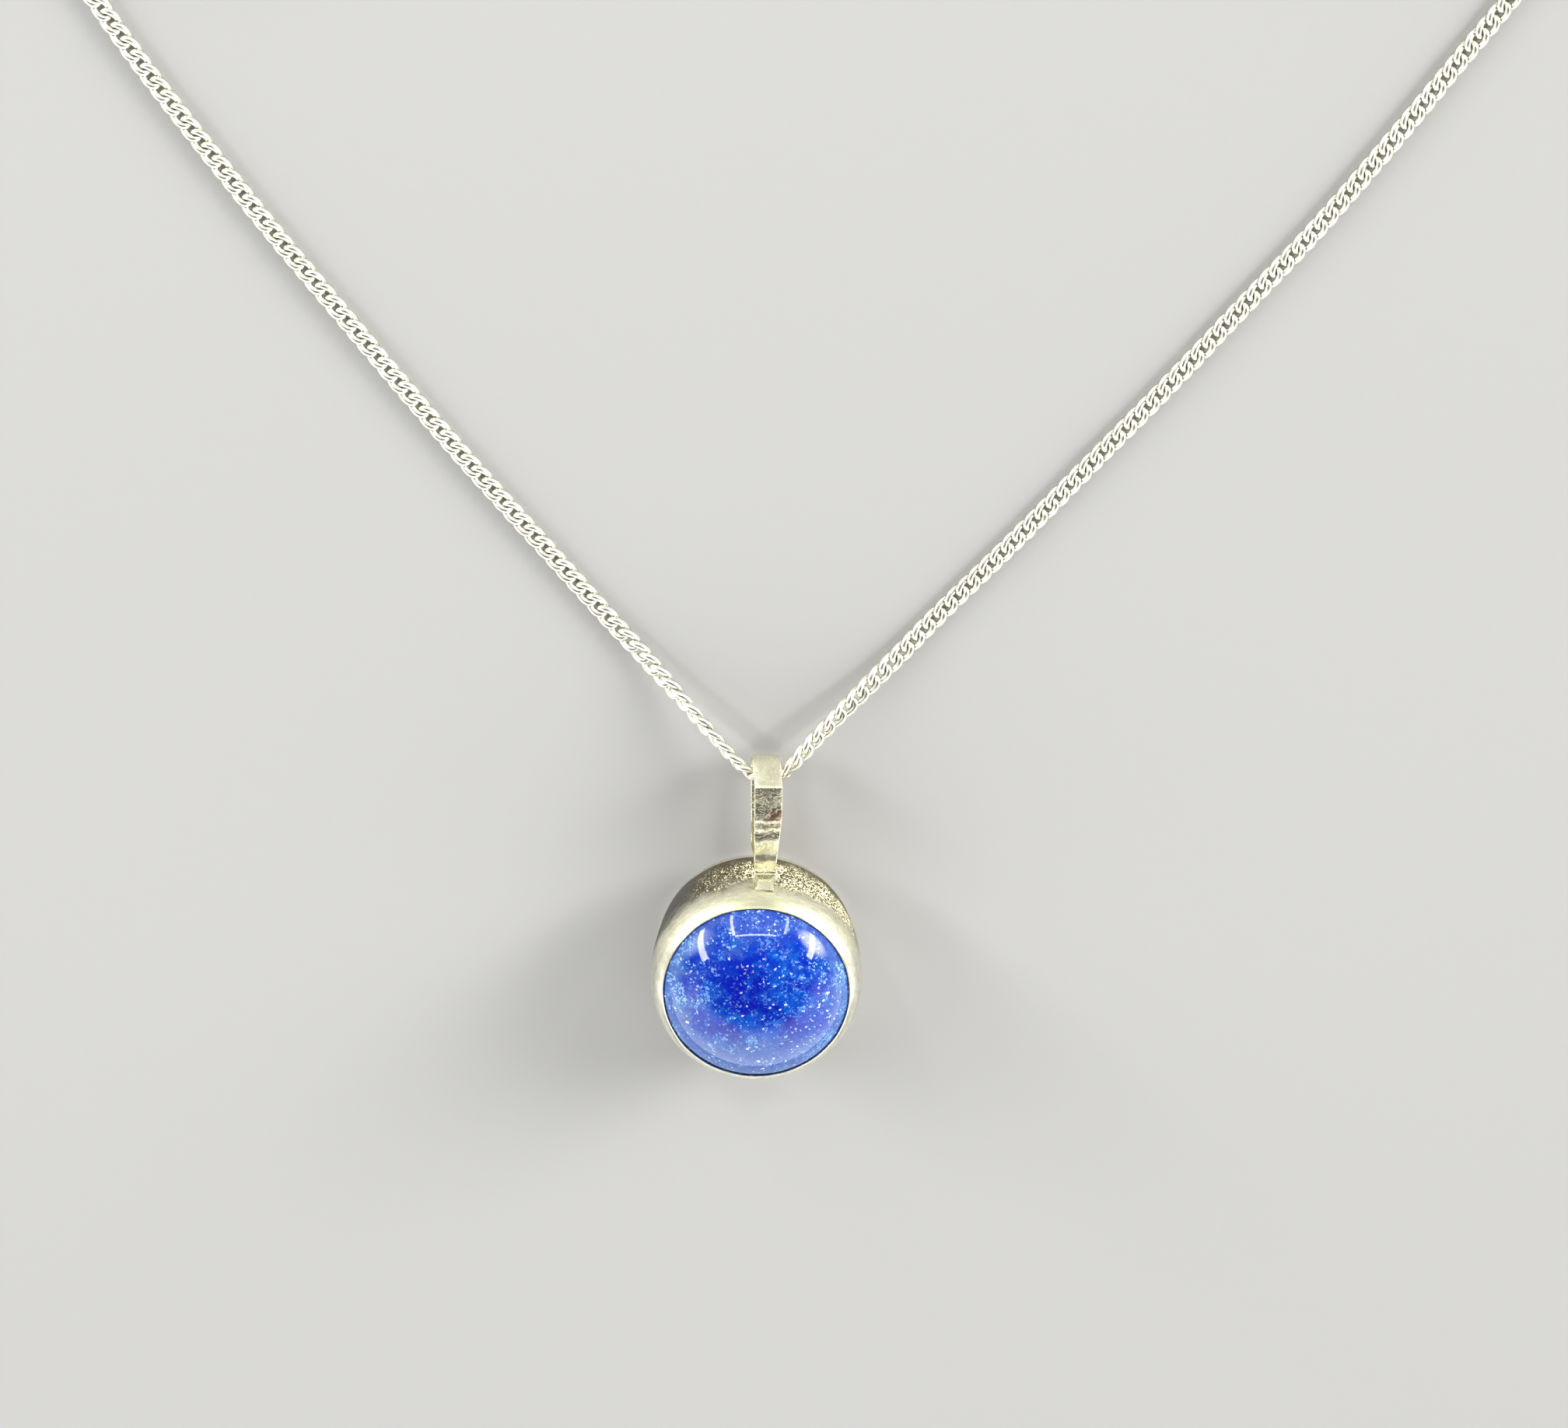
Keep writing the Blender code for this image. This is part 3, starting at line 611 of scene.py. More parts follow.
def add_solder(material):
    """The uneven bead of solder round the tail's edges and in the foot's bend."""
    line, widths = bail_line()
    random = np.random.default_rng(5)
    middle_x = BAIL_X + SOLDER_X
    lengths = arc_lengths(line)
    tail = [index for index in range(len(line)) if lengths[index] > lengths[-1] - SOLDER_LENGTH]

    def edge(side, indices):
        outer = line - (STRAP / 2, 0.0)
        return [(middle_x + side * (widths[index] / 2 + 0.01), *outer[index]) for index in indices]

    y, z = line[-1]
    across = [
        (middle_x + widths[-1] * (0.5 - share), y - STRAP / 2 - 0.02, z)
        for share in np.linspace(0.15, 0.85, 7)
    ]
    path = np.array(edge(1, tail) + across + edge(-1, tail[::-1]))
    radii = SOLDER_RADIUS + SOLDER_SPREAD * random.standard_normal(len(path)).clip(-1.5, 1.5)
    radii = np.convolve(np.pad(radii, 1, mode="edge"), [0.25, 0.5, 0.25], mode="valid")
    radii[len(tail):-len(tail)] *= SOLDER_END
    radii[[0, -1]] = SOLDER_TIP
    rings = wire_rings(path, radii, 12, up=(0.0, 1.0, 0.25))
    pendant_piece("bail_solder", skin(rings), material, "bail_silver", (), 60)


# ---------------- the findings

def middle_of(name):
    """The middle of a CAD node's box, in millimetres."""
    low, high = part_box(name)
    return (np.array(low) + np.array(high)) / 2 / MM


def finding(name, shape, material, body, replaced, sharp=60, slot="findings_silver"):
    return make_piece(name, *shape, material, body, slot, [replaced], sharp)


def add_jump_ring(name, material, body, replaced):
    """A level round ring of wire, with the fine cut at 90 degrees where it opens."""
    angles = np.radians(np.linspace(91.0, 449.0, 72))
    points = JUMP_RADIUS * np.stack([np.cos(angles), np.sin(angles), 0 * angles], axis=1)
    rings = wire_rings(middle_of(replaced) + points, JUMP_WIRE / 2, 16)
    return finding(name, skin(rings), material, body, replaced)


def add_clasp_eye(material):
    """The closed ring, soldered to the clasp and standing in the XZ plane."""
    angles = np.linspace(0, math.tau, 72, endpoint=False)
    points = EYE_RADIUS * np.stack([np.cos(angles), 0 * angles, np.sin(angles)], axis=1)
    points += middle_of("clasp_eye")
    rings = wire_rings(points, EYE_WIRE / 2, 16, closed=True, up=(0, 1, 0))
    return finding("clasp_eye_ring", skin(rings, closed_row=True), material, "clasp", "clasp_eye")


def add_end_link(name, material):
    length, height = END_LINK_HOLE
    half = (length - height) / 2
    bend = height / 2 + END_LINK_WIRE / 2
    outline = arc(bend, -90, 90, 18, (half, 0.0)) + arc(bend, 90, 270, 18, (-half, 0.0))
    points = middle_of(name) + np.array([(u, 0.0, v) for u, v in outline])
    rings = wire_rings(points, END_LINK_WIRE / 2, 14, closed=True, up=(0, 1, 0))
    return finding(f"{name}_wire", skin(rings, closed_row=True), material, "chain", name)


def arc_tube(centre, radius, span, sides=24, round_end=False):
    """A round bar along a level arc about the clasp's middle, with a point each 3 degrees."""
    count = round((span[1] - span[0]) / 3.0)
    angles = np.radians(np.linspace(*span, count + 1))
    points = centre + CLASP_RADIUS * np.stack([np.cos(angles), np.sin(angles), 0 * angles], axis=1)
    radii = np.full(count + 1, radius)
    if round_end:
        radii[:3] *= (0.55, 0.85, 0.97)
    return skin(wire_rings(points, radii, sides))


def slot_block(centre):
    """The block that cuts the knob's slot."""
    angles = np.radians(np.linspace(*SLOT_SPAN, 23))
    half = SLOT_WIDTH / 2
    inner, outer = CLASP_RADIUS + 0.1, CLASP_RADIUS + 1.2
    corners = [(inner, -half), (outer, -half), (outer, half), (inner, half)]
    rings = [
        np.array([centre + (reach * math.cos(a), reach * math.sin(a), lift) for reach, lift in corners])
        for a in angles
    ]
    return skin(rings)


def add_clasp_body(centre, material):
    """The clasp's hollow ring, with a bore for gate and spring, a socket and the knob's slot."""
    tube = arc_tube(centre, CLASP_TUBE, (MOUTH, 360 - MOUTH), sides=28)
    body = finding("clasp_ring", tube, material, "clasp", "clasp_body", 40)
    cutters = []
    for name, shape in (
        ("bore", arc_tube(centre, CLASP_BORE, (MOUTH - 5, SPRING_STOP))),
        ("socket", arc_tube(centre, CLASP_BORE, SOCKET_SPAN)),
        ("slot", slot_block(centre)),
    ):
        cutter = bpy.data.objects.new(name, solid_mesh(name, *shape))
        cutters.append(cutter)
        bpy.context.scene.collection.objects.link(cutter)
        cut = body.modifiers.new(cutter.name, "BOOLEAN")
        cut.object = cutter
        cut.solver = "EXACT"
    graph = bpy.context.evaluated_depsgraph_get()
    mesh = bpy.data.meshes.new_from_object(body.evaluated_get(graph))
    body.modifiers.clear()
    body.data = mesh
    mesh.materials.clear()
    mesh.materials.append(material)
    mesh.shade_smooth()
    mesh.set_sharp_from_angle(angle=math.radians(35))
    for cutter in cutters:
        bpy.data.objects.remove(cutter, do_unlink=True)
    return body


def add_clasp_gate(centre, material):
    tube = arc_tube(centre, GATE_WIRE, GATE_SPAN, round_end=True)
    return finding("clasp_gate_bar", tube, material, "gate", "clasp_gate", 50)


def add_thumb_knob(centre, material):
    """A stem with a round head, pointing out of the clasp's slot."""
    angle = math.radians(KNOB_ANGLE)
    outward = np.array((math.cos(angle), math.sin(angle), 0.0))
    sideways = np.array((-outward[1], outward[0], 0.0))
    start = CLASP_RADIUS + GATE_WIRE + AIR
    neck = CLASP_RADIUS + CLASP_TUBE + 0.08
    stations = [(start, KNOB_STEM), (neck, KNOB_STEM)]
    first = math.asin(KNOB_STEM / KNOB_HEAD)
    for turn in np.linspace(first, 0.97 * math.pi, 14)[1:]:
        reach = neck + KNOB_HEAD * (math.cos(first) - math.cos(turn))
        stations.append((reach, KNOB_HEAD * math.sin(turn)))
    turns = np.linspace(0, math.tau, 24, endpoint=False)[:, None]
    circle = sideways * np.cos(turns) + np.array((0, 0, 1.0)) * np.sin(turns)
    rings = [centre + outward * reach + radius * circle for reach, radius in stations]
    return finding("thumb_knob", skin(rings), material, "gate", "clasp_thumb_knob", 50)


def add_spring(centre, material):
    """The coil spring inside the hollow ring, wound about the ring's own arc."""
    count = SPRING_TURNS * 28
    angles = np.radians(np.linspace(*SPRING_SPAN, count + 1))
    turns = math.tau * SPRING_TURNS * np.linspace(0, 1, count + 1)
    outward = np.stack([np.cos(angles), np.sin(angles), 0 * angles], axis=1)
    reach = CLASP_RADIUS + SPRING_RADIUS * np.cos(turns)
    points = centre + outward * reach[:, None]
    points[:, 2] += SPRING_RADIUS * np.sin(turns)
    along = unit(np.gradient(points, axis=0))
    axis = np.stack([-np.sin(angles), np.cos(angles), 0 * angles], axis=1)
    across = unit(np.cross(axis, along))
    above = np.cross(along, across)
    sides = np.linspace(0, math.tau, 8, endpoint=False)[:, None]
    rings = [
        point + SPRING_WIRE * (np.cos(sides) * a + np.sin(sides) * b)
        for point, a, b in zip(points, across, above)
    ]
    return finding(
        "clasp_coil_spring", skin(rings), material, "clasp", "clasp_spring", slot="spring_steel",
    )


# ---------------- materials

class Nodes:
    """A node tree, with short calls for the nodes used here."""

    def __init__(self, tree):
        self.tree = tree

    def put(self, value, socket):
        """Link another node's output to the socket, or set a plain value on it."""
        if isinstance(value, bpy.types.NodeSocket):
            self.tree.links.new(value, socket)
        else:
            socket.default_value = value

    def add(self, kind, inputs, output=0, **settings):
        node = self.tree.nodes.new(kind)
        for key, value in settings.items():
            setattr(node, key, value)
        for key, value in inputs.items():
            self.put(value, node.inputs[key])
        return node.outputs[output]

    def math(self, operation, a, b=0.0, clamp=False):
        return self.add("ShaderNodeMath", {0: a, 1: b}, operation=operation, use_clamp=clamp)

    def times(self, a, b, clamp=False):
        return self.math("MULTIPLY", a, b, clamp)

    def plus(self, a, b):
        return self.math("ADD", a, b)

    def minus(self, a, b, clamp=False):
        return self.math("SUBTRACT", a, b, clamp)

    def step(self, value, low, high):
        """0 at low, 1 at high, smooth between."""
        inputs = {0: value, 1: low, 2: high}
        return self.add("ShaderNodeMapRange", inputs, interpolation_type="SMOOTHSTEP")

    def span(self, value, low, high):
        """A 0 to 1 value spread linearly from low to high."""
        return self.add("ShaderNodeMapRange", {0: value, 3: low, 4: high})

    def vector(self, x, y, z=0.0):
        return self.add("ShaderNodeCombineXYZ", {0: x, 1: y, 2: z})

    def parts(self, vector):
        return self.add("ShaderNodeSeparateXYZ", {0: vector}).node.outputs

    def moved(self, vector, by):
        return self.add("ShaderNodeVectorMath", {0: vector, 1: by}, operation="ADD")

    def scaled(self, vector, scale):
        return self.add("ShaderNodeVectorMath", {0: vector, "Scale": scale}, operation="SCALE")

    def unit(self, vector):
        return self.add("ShaderNodeVectorMath", {0: vector}, operation="NORMALIZE")

    def length(self, vector):
        return self.add("ShaderNodeVectorMath", {0: vector}, output="Value", operation="LENGTH")


class Graph(Nodes):
    """A material's node tree, which works in the object's millimetres."""

    def __init__(self, name):
        self.material = bpy.data.materials.new(name)
        self.material.use_nodes = True
        super().__init__(self.material.node_tree)
        self.shader = self.tree.nodes["Principled BSDF"]
        self.place = self.scaled(self.add("ShaderNodeTexCoord", {}, output="Object"), 1 / MM)

    def set(self, **values):
        for key, value in values.items():
            self.put(value, self.shader.inputs[key.replace("_", " ")])

    def metal(self, colour, rough, normal):
        self.set(Base_Color=colour, Roughness=rough, Metallic=1.0, Normal=normal)
        return self.material

    def noise(self, scale, detail=2.0, roughness=0.5, distortion=0.0, vector=None):
        return self.add("ShaderNodeTexNoise", {
            "Vector": vector or self.place, "Scale": scale, "Detail": detail,
            "Roughness": roughness, "Distortion": distortion,
        })

    def lines(self, noise, width):
        """1 on the thin lines where a noise crosses its middle."""
        return self.minus(1.0, self.step(self.math("ABSOLUTE", self.minus(noise, 0.5)), 0.0, width))

    def mix(self, share, a, b):
        a, b = (part if isinstance(part, bpy.types.NodeSocket) else (*part, 1.0) for part in (a, b))
        return self.add("ShaderNodeMix", {0: share, 6: a, 7: b}, output=2, data_type="RGBA")

    def over(self, colour, share, strength, paint):
        return self.mix(self.times(share, strength), colour, paint)

    def stretched(self, scale, turn=0.0, origin=(0.0, 0.0, 0.0)):
        """Millimetres, turned about Z and scaled by axis."""
        return self.add("ShaderNodeMapping", {
            "Vector": self.place, "Location": origin,
            "Rotation": (0.0, 0.0, math.radians(turn)), "Scale": scale,
        })

    def bump(self, height, strength, depth, under=None):
        inputs = {"Height": height, "Strength": strength, "Distance": depth * MM}
        if under is not None:
            inputs["Normal"] = under
        return self.add("ShaderNodeBump", inputs)


def bezel_material():
    """Satin silver with a polished lip and a sandy unpolished band low beside the bail, with painted
    highlights, reflections and shade over the wall.
    """
    g = Graph("bezel_silver")
    x, y, z = g.parts(g.place)
    flat = g.vector(x, y)
    reach = g.length(flat)
    facing = g.unit(flat)
    right, towards_bail, _ = g.parts(facing)

    blotch = g.noise(0.55, 3.0, 0.6)
    ragged = g.plus(z, g.span(blotch, -2.0, 2.0))
    low = g.step(ragged, 5.7, 3.9)
    near = g.step(g.plus(towards_bail, g.times(right, 0.30)), 0.45, 0.85)
    # Partly painted: lighter and yellower on the bail's side, the metal's warm tint and also a painted
    # highlight
    warm_and_highlight = g.step(towards_bail, 0.15, 0.55)
    crown = g.times(g.step(towards_bail, 0.84, 0.96), g.step(z, 6.5, 6.9))
    sandy = g.times(low, near)
    band = g.times(sandy, g.step(ragged, 0.9, 2.6))
    # Painted shade: darker low on the wall, more so on the bail's side
    low_wall_shade = g.times(g.step(ragged, 6.2, 3.2), g.span(g.step(towards_bail, -0.4, 0.5), 0.35, 1.0))

    grain = g.noise(6.5, 3.0, 0.65, 0.3, g.stretched((1, 1, 0.7)))
    fine = g.noise(11.0, 2.0, 0.6)
    pits = g.times(g.step(grain, 0.50, 0.38), sandy)
    crumbs = g.noise(8.5, 1.5, 0.5, 0.2, g.stretched((1, 1, 0.7), 30, (5, 3, 1)))
    spread = g.noise(1.6, 2.0, 0.6, 0.3, g.stretched((1, 1, 0.7), 10, (2, 7, 3)))
    crumbs = g.plus(crumbs, g.span(spread, -0.16, 0.16))
    crumbs = g.plus(crumbs, g.span(g.step(right, -0.50, 0.15), -0.09, 0.01))
    flecks = g.times(g.step(crumbs, 0.505, 0.55), band)

    around = g.scaled(facing, 6.0)
    rise = g.vector(0.0, 0.0, g.times(z, 3.0))
    brushed = g.moved(around, rise)
    brush = g.noise(1.5, 4.0, 0.68, 0.6, brushed)
    strokes = g.noise(2.2, 2.0, 0.5, 1.5, brushed)
    scratch = g.lines(strokes, 0.03)
    polish = g.step(z, 6.8, 7.1)
    matt = g.minus(1.0, polish)
    scratch = g.times(scratch, matt)

    dull = g.mix(warm_and_highlight, (0.58, 0.58, 0.47), (0.76, 0.745, 0.54))
    bright = g.mix(warm_and_highlight, (0.80, 0.80, 0.70), (0.98, 0.965, 0.76))
    colour = g.mix(g.step(brush, 0.34, 0.66), dull, bright)
    # Painted reflection: a darker yellow patch at the top of the wall, facing the bail
    colour = g.over(colour, crown, 0.6, (0.60, 0.59, 0.36))
    colour = g.over(colour, low_wall_shade, 0.85, (0.22, 0.21, 0.145))
    # Painted shade: the wall on the left side, below the shoulder, darkened nearly to black
    left = g.times(g.step(right, -0.05, -0.60), g.step(ragged, 6.3, 3.8))
    colour = g.over(colour, left, 0.95, (0.075, 0.07, 0.05))
    # Partly painted: the band's dark brown is the unpolished metal's own tone, darkened further as a
    # painted dark reflection
    colour = g.over(colour, sandy, 0.85, (0.15, 0.115, 0.045))
    colour = g.over(colour, pits, 0.80, (0.04, 0.035, 0.02))
    colour = g.mix(flecks, colour, (1.0, 0.94, 0.62))
    colour = g.over(colour, scratch, 0.35, (0.98, 0.965, 0.88))
    # Painted shade: near black on the lip's inner face, in the gap against the stone
    crevice = g.step(reach, LIP_RADIUS + 0.035, LIP_RADIUS - 0.01)
    inside = g.times(crevice, g.step(z, 5.0, 6.6))
    colour = g.over(colour, inside, 0.9, (0.03, 0.03, 0.03))

    rough = g.span(brush, 0.48, 0.30)
    rough = g.plus(rough, g.times(sandy, 0.10))
    rough = g.minus(rough, g.times(polish, 0.10), clamp=True)

    normal = g.bump(g.times(brush, matt), 0.5, 0.035)
    normal = g.bump(scratch, 0.35, -0.015, normal)
    normal = g.bump(g.times(grain, g.span(sandy, 0.05, 1.0)), 1.0, 0.25, normal)
    normal = g.bump(g.times(fine, matt), 0.3, 0.012, normal)
    normal = g.unit(g.moved(normal, g.vector(0.0, 0.0, g.times(flecks, 0.95))))
    return g.metal(colour, rough, normal)


def bail_material():
    """Hand-filed strap: facets along it, cross scratches, small dents and smears, with painted
    reflections on the front leg.
    """
    g = Graph("bail_silver")
    x, y, z = g.parts(g.place)
    smear = g.noise(1.3, 4.0, 0.62, 0.6)
    wander = g.plus(y, g.span(g.noise(0.9, 2.0, 0.5), -0.35, 0.35))
    front = g.step(z, 4.2, 4.4)
    facets = 0.0
    for start, end, height in BAIL_FACETS:
        facets = g.plus(facets, g.times(g.step(wander, start, end), height))
    long = g.noise(1.0, 3.0, 0.6, 0.5, g.stretched((7.0, 1.3, 1.0), 6))
    line = g.noise(1.0, 2.0, 0.5, 0.8, g.stretched((1.6, 3.6, 3.6), -24, (4, 2, 0)))
    scratch = g.lines(line, 0.025)
    rubbed = g.times(g.step(wander, 9.3, 9.8), g.step(wander, 12.9, 12.5))
    scratch = g.times(scratch, g.span(rubbed, 0.25, 1.0))
    speck = g.step(g.noise(7.0, 3.0, 0.6), 0.62, 0.68)
    colour = g.mix(smear, (0.83, 0.80, 0.54), (0.98, 0.96, 0.76))
    # Painted reflection: darker brownish streaks over the middle of the front leg
    dark_reflection = g.times(g.times(rubbed, front), g.step(long, 0.40, 0.60))
    colour = g.over(colour, dark_reflection, 0.45, (0.50, 0.37, 0.26))
    # Painted reflection: a reddish patch on the front leg
    reddish_reflection = g.times(g.step(wander, 10.45, 10.75), g.step(wander, 11.55, 11.30))
    reddish_reflection = g.times(g.times(reddish_reflection, front), g.step(x, 0.25, 0.6))
    reddish_reflection = g.times(reddish_reflection, g.span(long, 0.1, 1.3), clamp=True)
    colour = g.over(colour, reddish_reflection, 0.85, (0.72, 0.47, 0.33))
    colour = g.over(colour, speck, 0.55, (0.30, 0.26, 0.16))
    colour = g.over(colour, scratch, 0.7, (0.99, 0.98, 0.93))
    rough = g.span(smear, 0.18, 0.36)
    normal = g.bump(facets, 1.0, 1.0)
    normal = g.bump(g.noise(1.0, 1.5), 0.6, 0.08, normal)
    normal = g.bump(long, 0.4, 0.02, normal)
    normal = g.bump(scratch, 0.4, -0.02, normal)
    normal = g.bump(speck, 0.4, -0.02, normal)
    return g.metal(colour, rough, normal)


def solder_material():
    g = Graph("solder_silver")
    lump = g.noise(4.0, 3.0, 0.6)
    colour = g.mix(lump, (0.70, 0.66, 0.45), (0.95, 0.925, 0.72))
    normal = g.bump(lump, 0.7, 0.06)
    return g.metal(colour, g.span(lump, 0.22, 0.5), normal)


def chain_material():
    """Bright drawn wire, smoothed by wear outside, with painted shade where the links meet."""
    g = Graph("chain_silver")
    crevice = g.add("ShaderNodeAttribute", {}, output="Fac", attribute_name="crevice")
    each = g.add("ShaderNodeAttribute", {}, output="Fac", attribute_name="each")
    rub = g.noise(6.0, 3.0, 0.6)
    # Painted shade: the wire darkens nearly to black where it comes close to the next link
    contact_shade = g.times(g.step(crevice, 0.35, 0.95), g.span(rub, 0.6, 1.1), clamp=True)
    colour = g.mix(each, (0.90, 0.88, 0.75), (0.97, 0.955, 0.85))
    colour = g.over(colour, contact_shade, 0.85, (0.10, 0.09, 0.06))
    rough = g.plus(g.span(rub, 0.24, 0.40), g.times(contact_shade, 0.2))
    normal = g.bump(g.noise(9.0, 2.0), 0.35, 0.02)
    return g.metal(colour, rough, normal)


def findings_material(name, dull, bright, roughness):
    """Plain bright or grey metal with handling marks."""
    g = Graph(name)
    smear = g.noise(2.2, 4.0, 0.6, 0.4)
    mark = g.noise(1.0, 2.0, 0.5, 0.9, g.stretched((3.0, 9.0, 5.0), 35))
    scratch = g.lines(mark, 0.02)
    colour = g.mix(smear, dull, bright)
    colour = g.over(colour, scratch, 0.3, tuple(0.6 * part for part in dull))
    normal = g.bump(smear, 0.3, 0.02)
    normal = g.bump(scratch, 0.3, -0.01, normal)
    return g.metal(colour, g.span(smear, *roughness), normal)


def lapis_material():
    """Deep ultramarine with paler clouds towards the rim, partly the stone's own and partly a painted
    reflection, a pale crescent on the side away from the bail that is a painted reflection, calcite
    specks and small pyrite flecks.
    """
    g = Graph("lapis")
    x, y, _ = g.parts(g.place)
    reach = g.length(g.vector(x, y))
    cloud = g.noise(0.36, 4.0, 0.6, 0.8)
    patch = g.noise(0.50, 3.0, 0.55, 0.8, g.stretched((1, 1, 1), 15, (1, 4, 0)))
    mottle = g.noise(1.7, 5.0, 0.70, 0.6)
    speckle = g.noise(4.6, 3.0, 0.65, 0.8)

    azure = g.step(patch, 0.42, 0.62)
    azure = g.times(azure, g.span(g.step(y, 3.2, 4.6), 1.0, 0.25))
    deep = g.mix(g.step(reach, 1.8, 4.2), (0.0002, 0.006, 0.33), (0.0008, 0.024, 0.42))
    colour = g.mix(azure, deep, (0.001, 0.058, 0.45))
    flares = g.times(g.step(mottle, 0.52, 0.68), g.span(azure, 0.15, 0.8))
    colour = g.mix(flares, colour, (0.008, 0.17, 0.55))
    colour = g.mix(g.times(g.step(mottle, 0.46, 0.34), 0.5), colour, (0.001, 0.030, 0.24))
    # Partly painted: the paler zone towards the rim is the stone's own clouding and also a painted
    # reflection; the pale crescent on the side away from the bail is a painted reflection
    pale_and_reflection = g.step(g.plus(reach, g.span(cloud, -2.8, 2.8)), 3.7, 6.2)
    pale_and_reflection = g.times(pale_and_reflection, g.span(mottle, 0.0, 1.5), clamp=True)
    pale_and_reflection = g.times(pale_and_reflection, g.span(g.step(y, 3.4, 4.8), 1.0, 0.35))
    lower_reflection = g.step(g.plus(y, g.span(cloud, -1.6, 1.6)), -1.2, -3.4)
    pale_and_reflection = g.math("MAXIMUM", pale_and_reflection, g.times(lower_reflection, g.span(mottle, 0.35, 0.85)))
    colour = g.over(colour, pale_and_reflection, 0.66, (0.14, 0.28, 0.46))
    rim = g.step(reach, 5.55, 5.80)
    colour = g.over(colour, rim, 0.75, (0.010, 0.05, 0.36))

    patches = g.step(g.noise(0.55, 2.5, 0.6, 0.5, g.stretched((1, 1, 1), 40, (3, 8, 2))), 0.47, 0.60)
    patches = g.times(patches, g.span(azure, 0.15, 1.0))
    patches = g.times(patches, g.span(g.step(reach, 1.5, 4.5), 0.6, 1.2))
    spots = g.times(g.step(speckle, 0.50, 0.60), patches)
    colour = g.over(colour, spots, 0.8, (0.26, 0.52, 0.84))
    clusters = g.step(g.noise(0.85, 3.0, 0.6, 0.4, g.stretched((1, 1, 1), 65, (6, 2, 5))), 0.43, 0.58)
    core = g.length(g.vector(g.plus(x, 0.3), g.plus(y, -1.1)))
    core = g.step(g.plus(core, g.span(cloud, -1.5, 1.5)), 4.2, 2.4)
    clusters = g.times(clusters, g.span(core, 1.0, 0.4))
    dark = g.times(g.step(g.noise(5.5, 3.0, 0.6, 0.4), 0.44, 0.34), g.span(clusters, 0.25, 0.8))
    colour = g.mix(dark, colour, (0.001, 0.02, 0.20))
    crumbs = g.step(g.noise(9.0, 3.0, 0.65, 0.6), 0.60, 0.67)
    crumbs = g.times(crumbs, g.times(g.step(speckle, 0.50, 0.60), g.span(azure, 0.3, 1.0)))
    colour = g.over(colour, crumbs, 0.85, (0.60, 0.76, 0.97))

    warp = g.add("ShaderNodeTexNoise", {"Vector": g.place, "Scale": 6.0}, output="Color")
    warp = g.scaled(warp, 0.34)
    warped = g.moved(g.place, warp)
    aside = g.length(g.moved(g.place, (0.1, -3.2, -9.0)))
    rosy = g.mix(g.step(aside, 1.5, 0.7), (0.30, 0.56, 0.88), (0.86, 0.62, 0.66))
    for scale, smallest, largest, share, light, where in (
        (4.4, 0.20, 0.38, 0.42, rosy, clusters),
        (1.5, 0.08, 0.16, 0.74, (0.97, 0.90, 0.70), g.span(clusters, 0.6, 1.0)),
        (2.9, 0.10, 0.22, 0.66, (0.84, 0.92, 1.0), g.span(clusters, 0.5, 1.0)),
    ):
        far = g.add("ShaderNodeTexVoronoi", {"Vector": warped, "Scale": scale}, output="Distance")
        drawn = g.parts(far.node.outputs["Color"])
        size = g.span(drawn[2], smallest, largest)
        dots = g.step(g.minus(far, size), 0.03, 0.0)
        dots = g.times(dots, g.step(drawn[0], share, share + 0.04))
        colour = g.mix(g.times(g.times(dots, 0.95), where), colour, light)

    normal = g.bump(g.noise(0.5, 1.0), 0.15, 0.05)
    g.set(Base_Color=colour, Roughness=0.45, Specular_IOR_Level=0.0, Normal=normal)
    g.set(Coat_Weight=1.0, Coat_Roughness=0.05, Coat_IOR=1.55)
    return g.material


def floor_material():
    g = Graph("floor")
    tone = g.add("ShaderNodeTexNoise", {"Scale": 3.0, "Detail": 2.0})
    colour = g.mix(tone, (0.435, 0.435, 0.43), (0.465, 0.465, 0.46))
    g.set(Base_Color=colour, Roughness=0.8)
    return g.material


# ---------------- floor and lights

def add_floor():
    half = FLOOR_HALF
    mesh = bpy.data.meshes.new("floor")
    corners = [(-half, -half, 0.0), (half, -half, 0.0), (half, half, 0.0), (-half, half, 0.0)]
    mesh.from_pydata(corners, [], [(0, 1, 2, 3)])
    mesh.materials.append(floor_material())
    floor = bpy.data.objects.new("floor", mesh)
    floor.location = (0.0, 0.0, FLOOR_DROP)
    bpy.context.scene.collection.objects.link(floor)


def direction(azimuth, elevation):
    """The unit vector at these radians; azimuth runs from +Y towards +X."""
    level = math.cos(elevation)
    return (math.sin(azimuth) * level, math.cos(azimuth) * level, math.sin(elevation))


def add_softbox(name, azimuth, elevation, width, height, brightness, tilt):
    light = bpy.data.lights.new(name, "AREA")
    light.shape = "RECTANGLE"
    light.size = 2 * SOFTBOX_DISTANCE * math.tan(math.radians(width / 2))
    light.size_y = 2 * SOFTBOX_DISTANCE * math.tan(math.radians(height / 2))
    light.energy = brightness * math.pi * light.size * light.size_y
    lamp = bpy.data.objects.new(name, light)
    azimuth = math.radians(azimuth)
    away = Vector(direction(azimuth, math.radians(elevation)))
    lamp.location = SOFTBOX_DISTANCE * away + Vector((0.0, 0.0, SOFTBOX_AIM))
    across = Vector((math.cos(azimuth), -math.sin(azimuth), 0.0))
    turn = Matrix((across, away.cross(across), away)).transposed()
    turn = turn @ Matrix.Rotation(math.radians(tilt), 3, "Z")
    lamp.rotation_mode = "QUATERNION"
    lamp.rotation_quaternion = turn.to_quaternion()
    lamp.visible_camera = False
    bpy.context.scene.collection.objects.link(lamp)


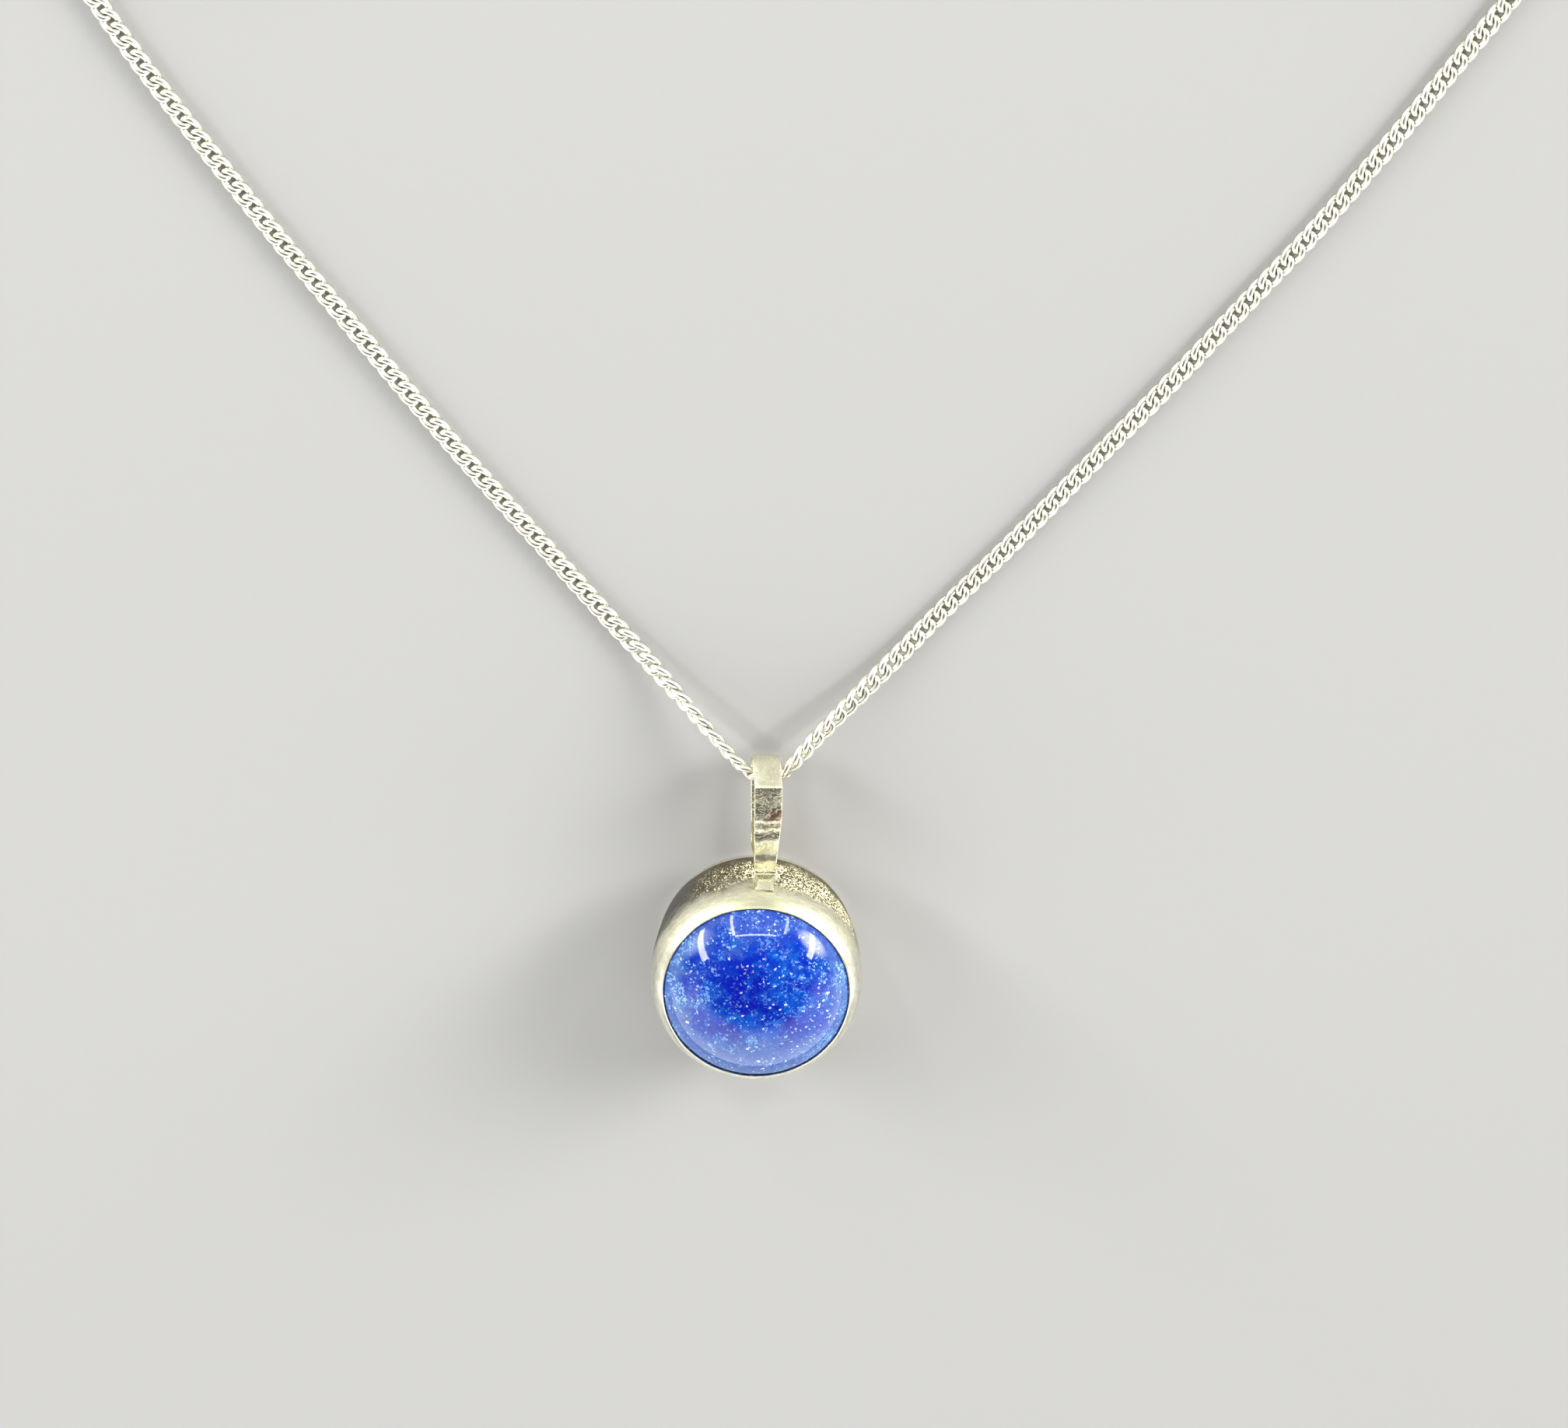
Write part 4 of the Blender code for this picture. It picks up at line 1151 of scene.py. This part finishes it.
def add_world():
    """A dim studio, brighter ahead, behind and low down, with a soft glow round each window."""
    world = bpy.data.worlds.new("world")
    bpy.context.scene.world = world
    world.use_nodes = True
    g = Nodes(world.node_tree)
    ray = g.add("ShaderNodeTexCoord", {}, output="Generated")
    x, y, up = g.parts(ray)
    forward = g.parts(g.unit(g.vector(x, y)))[1]
    ahead = g.step(forward, 0.80, 0.91)
    front = g.times(ahead, g.step(up, 0.82, 0.74))
    crown = g.times(front, g.step(up, 0.22, 0.40))
    back = g.times(g.step(forward, 0.0, -0.5), g.step(up, 0.80, 0.66))
    low = g.times(g.step(up, 0.45, 0.10), g.span(ahead, 1.0, 0.3))
    zones = [(front, 0.30), (crown, 0.42), (back, 1.9), (low, 0.9)]
    for azimuth, elevation, brightness in GLOWS:
        centre = direction(math.radians(azimuth), math.radians(elevation))
        near = g.add(
            "ShaderNodeVectorMath", {0: ray, 1: centre}, output="Value", operation="DOT_PRODUCT",
        )
        edge, core = (math.cos(math.radians(angle)) for angle in (GLOW_EDGE, GLOW_CORE))
        zones.append((g.step(near, edge, core), brightness))
    total = WORLD_BASE
    for zone, brightness in zones:
        total = g.plus(g.times(zone, brightness), total)
    background = world.node_tree.nodes["Background"].inputs
    g.put(total, background["Strength"])
    background["Color"].default_value = (1.0, 0.99, 0.965, 1.0)


# ---------------- the whole

def build():
    add_camera()
    halves = add_chain(chain_material())
    bezel = bezel_material()
    bail = bail_material()
    silver = findings_material(
        "findings_silver", (0.78, 0.765, 0.66), (0.93, 0.92, 0.84), (0.10, 0.24),
    )
    steel = findings_material("spring_steel", (0.42, 0.42, 0.43), (0.60, 0.60, 0.61), (0.22, 0.38))
    back = findings_material("back_silver", (0.74, 0.725, 0.60), (0.93, 0.915, 0.79), (0.24, 0.42))
    add_bezel_wall(bezel)
    add_back_plate(back)
    add_cabochon(lapis_material())
    add_bail(bail)
    add_solder(solder_material())
    NODES["stone_seat"].material_slots[0].material = back

    middle = middle_of("clasp_body")
    middle[0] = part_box("clasp_body")[0][0] / MM + CLASP_RADIUS + CLASP_TUBE
    left = [
        add_end_link("left_end_link", silver),
        add_jump_ring("clasp_link_ring", silver, "clasp_link", "clasp_jump_ring"),
        add_clasp_eye(silver),
        add_clasp_body(middle, silver),
        add_clasp_gate(middle, silver),
        add_thumb_knob(middle, silver),
        add_spring(middle, steel),
    ]
    right = [
        add_end_link("right_end_link", silver),
        add_jump_ring("catch_link_ring", silver, "catch_link", "catch_jump_ring"),
    ]
    add_floor()
    add_world()
    for name, facts in SOFTBOXES.items():
        add_softbox(name, *facts)
    bpy.context.scene.view_settings.view_transform = "Standard"


build()
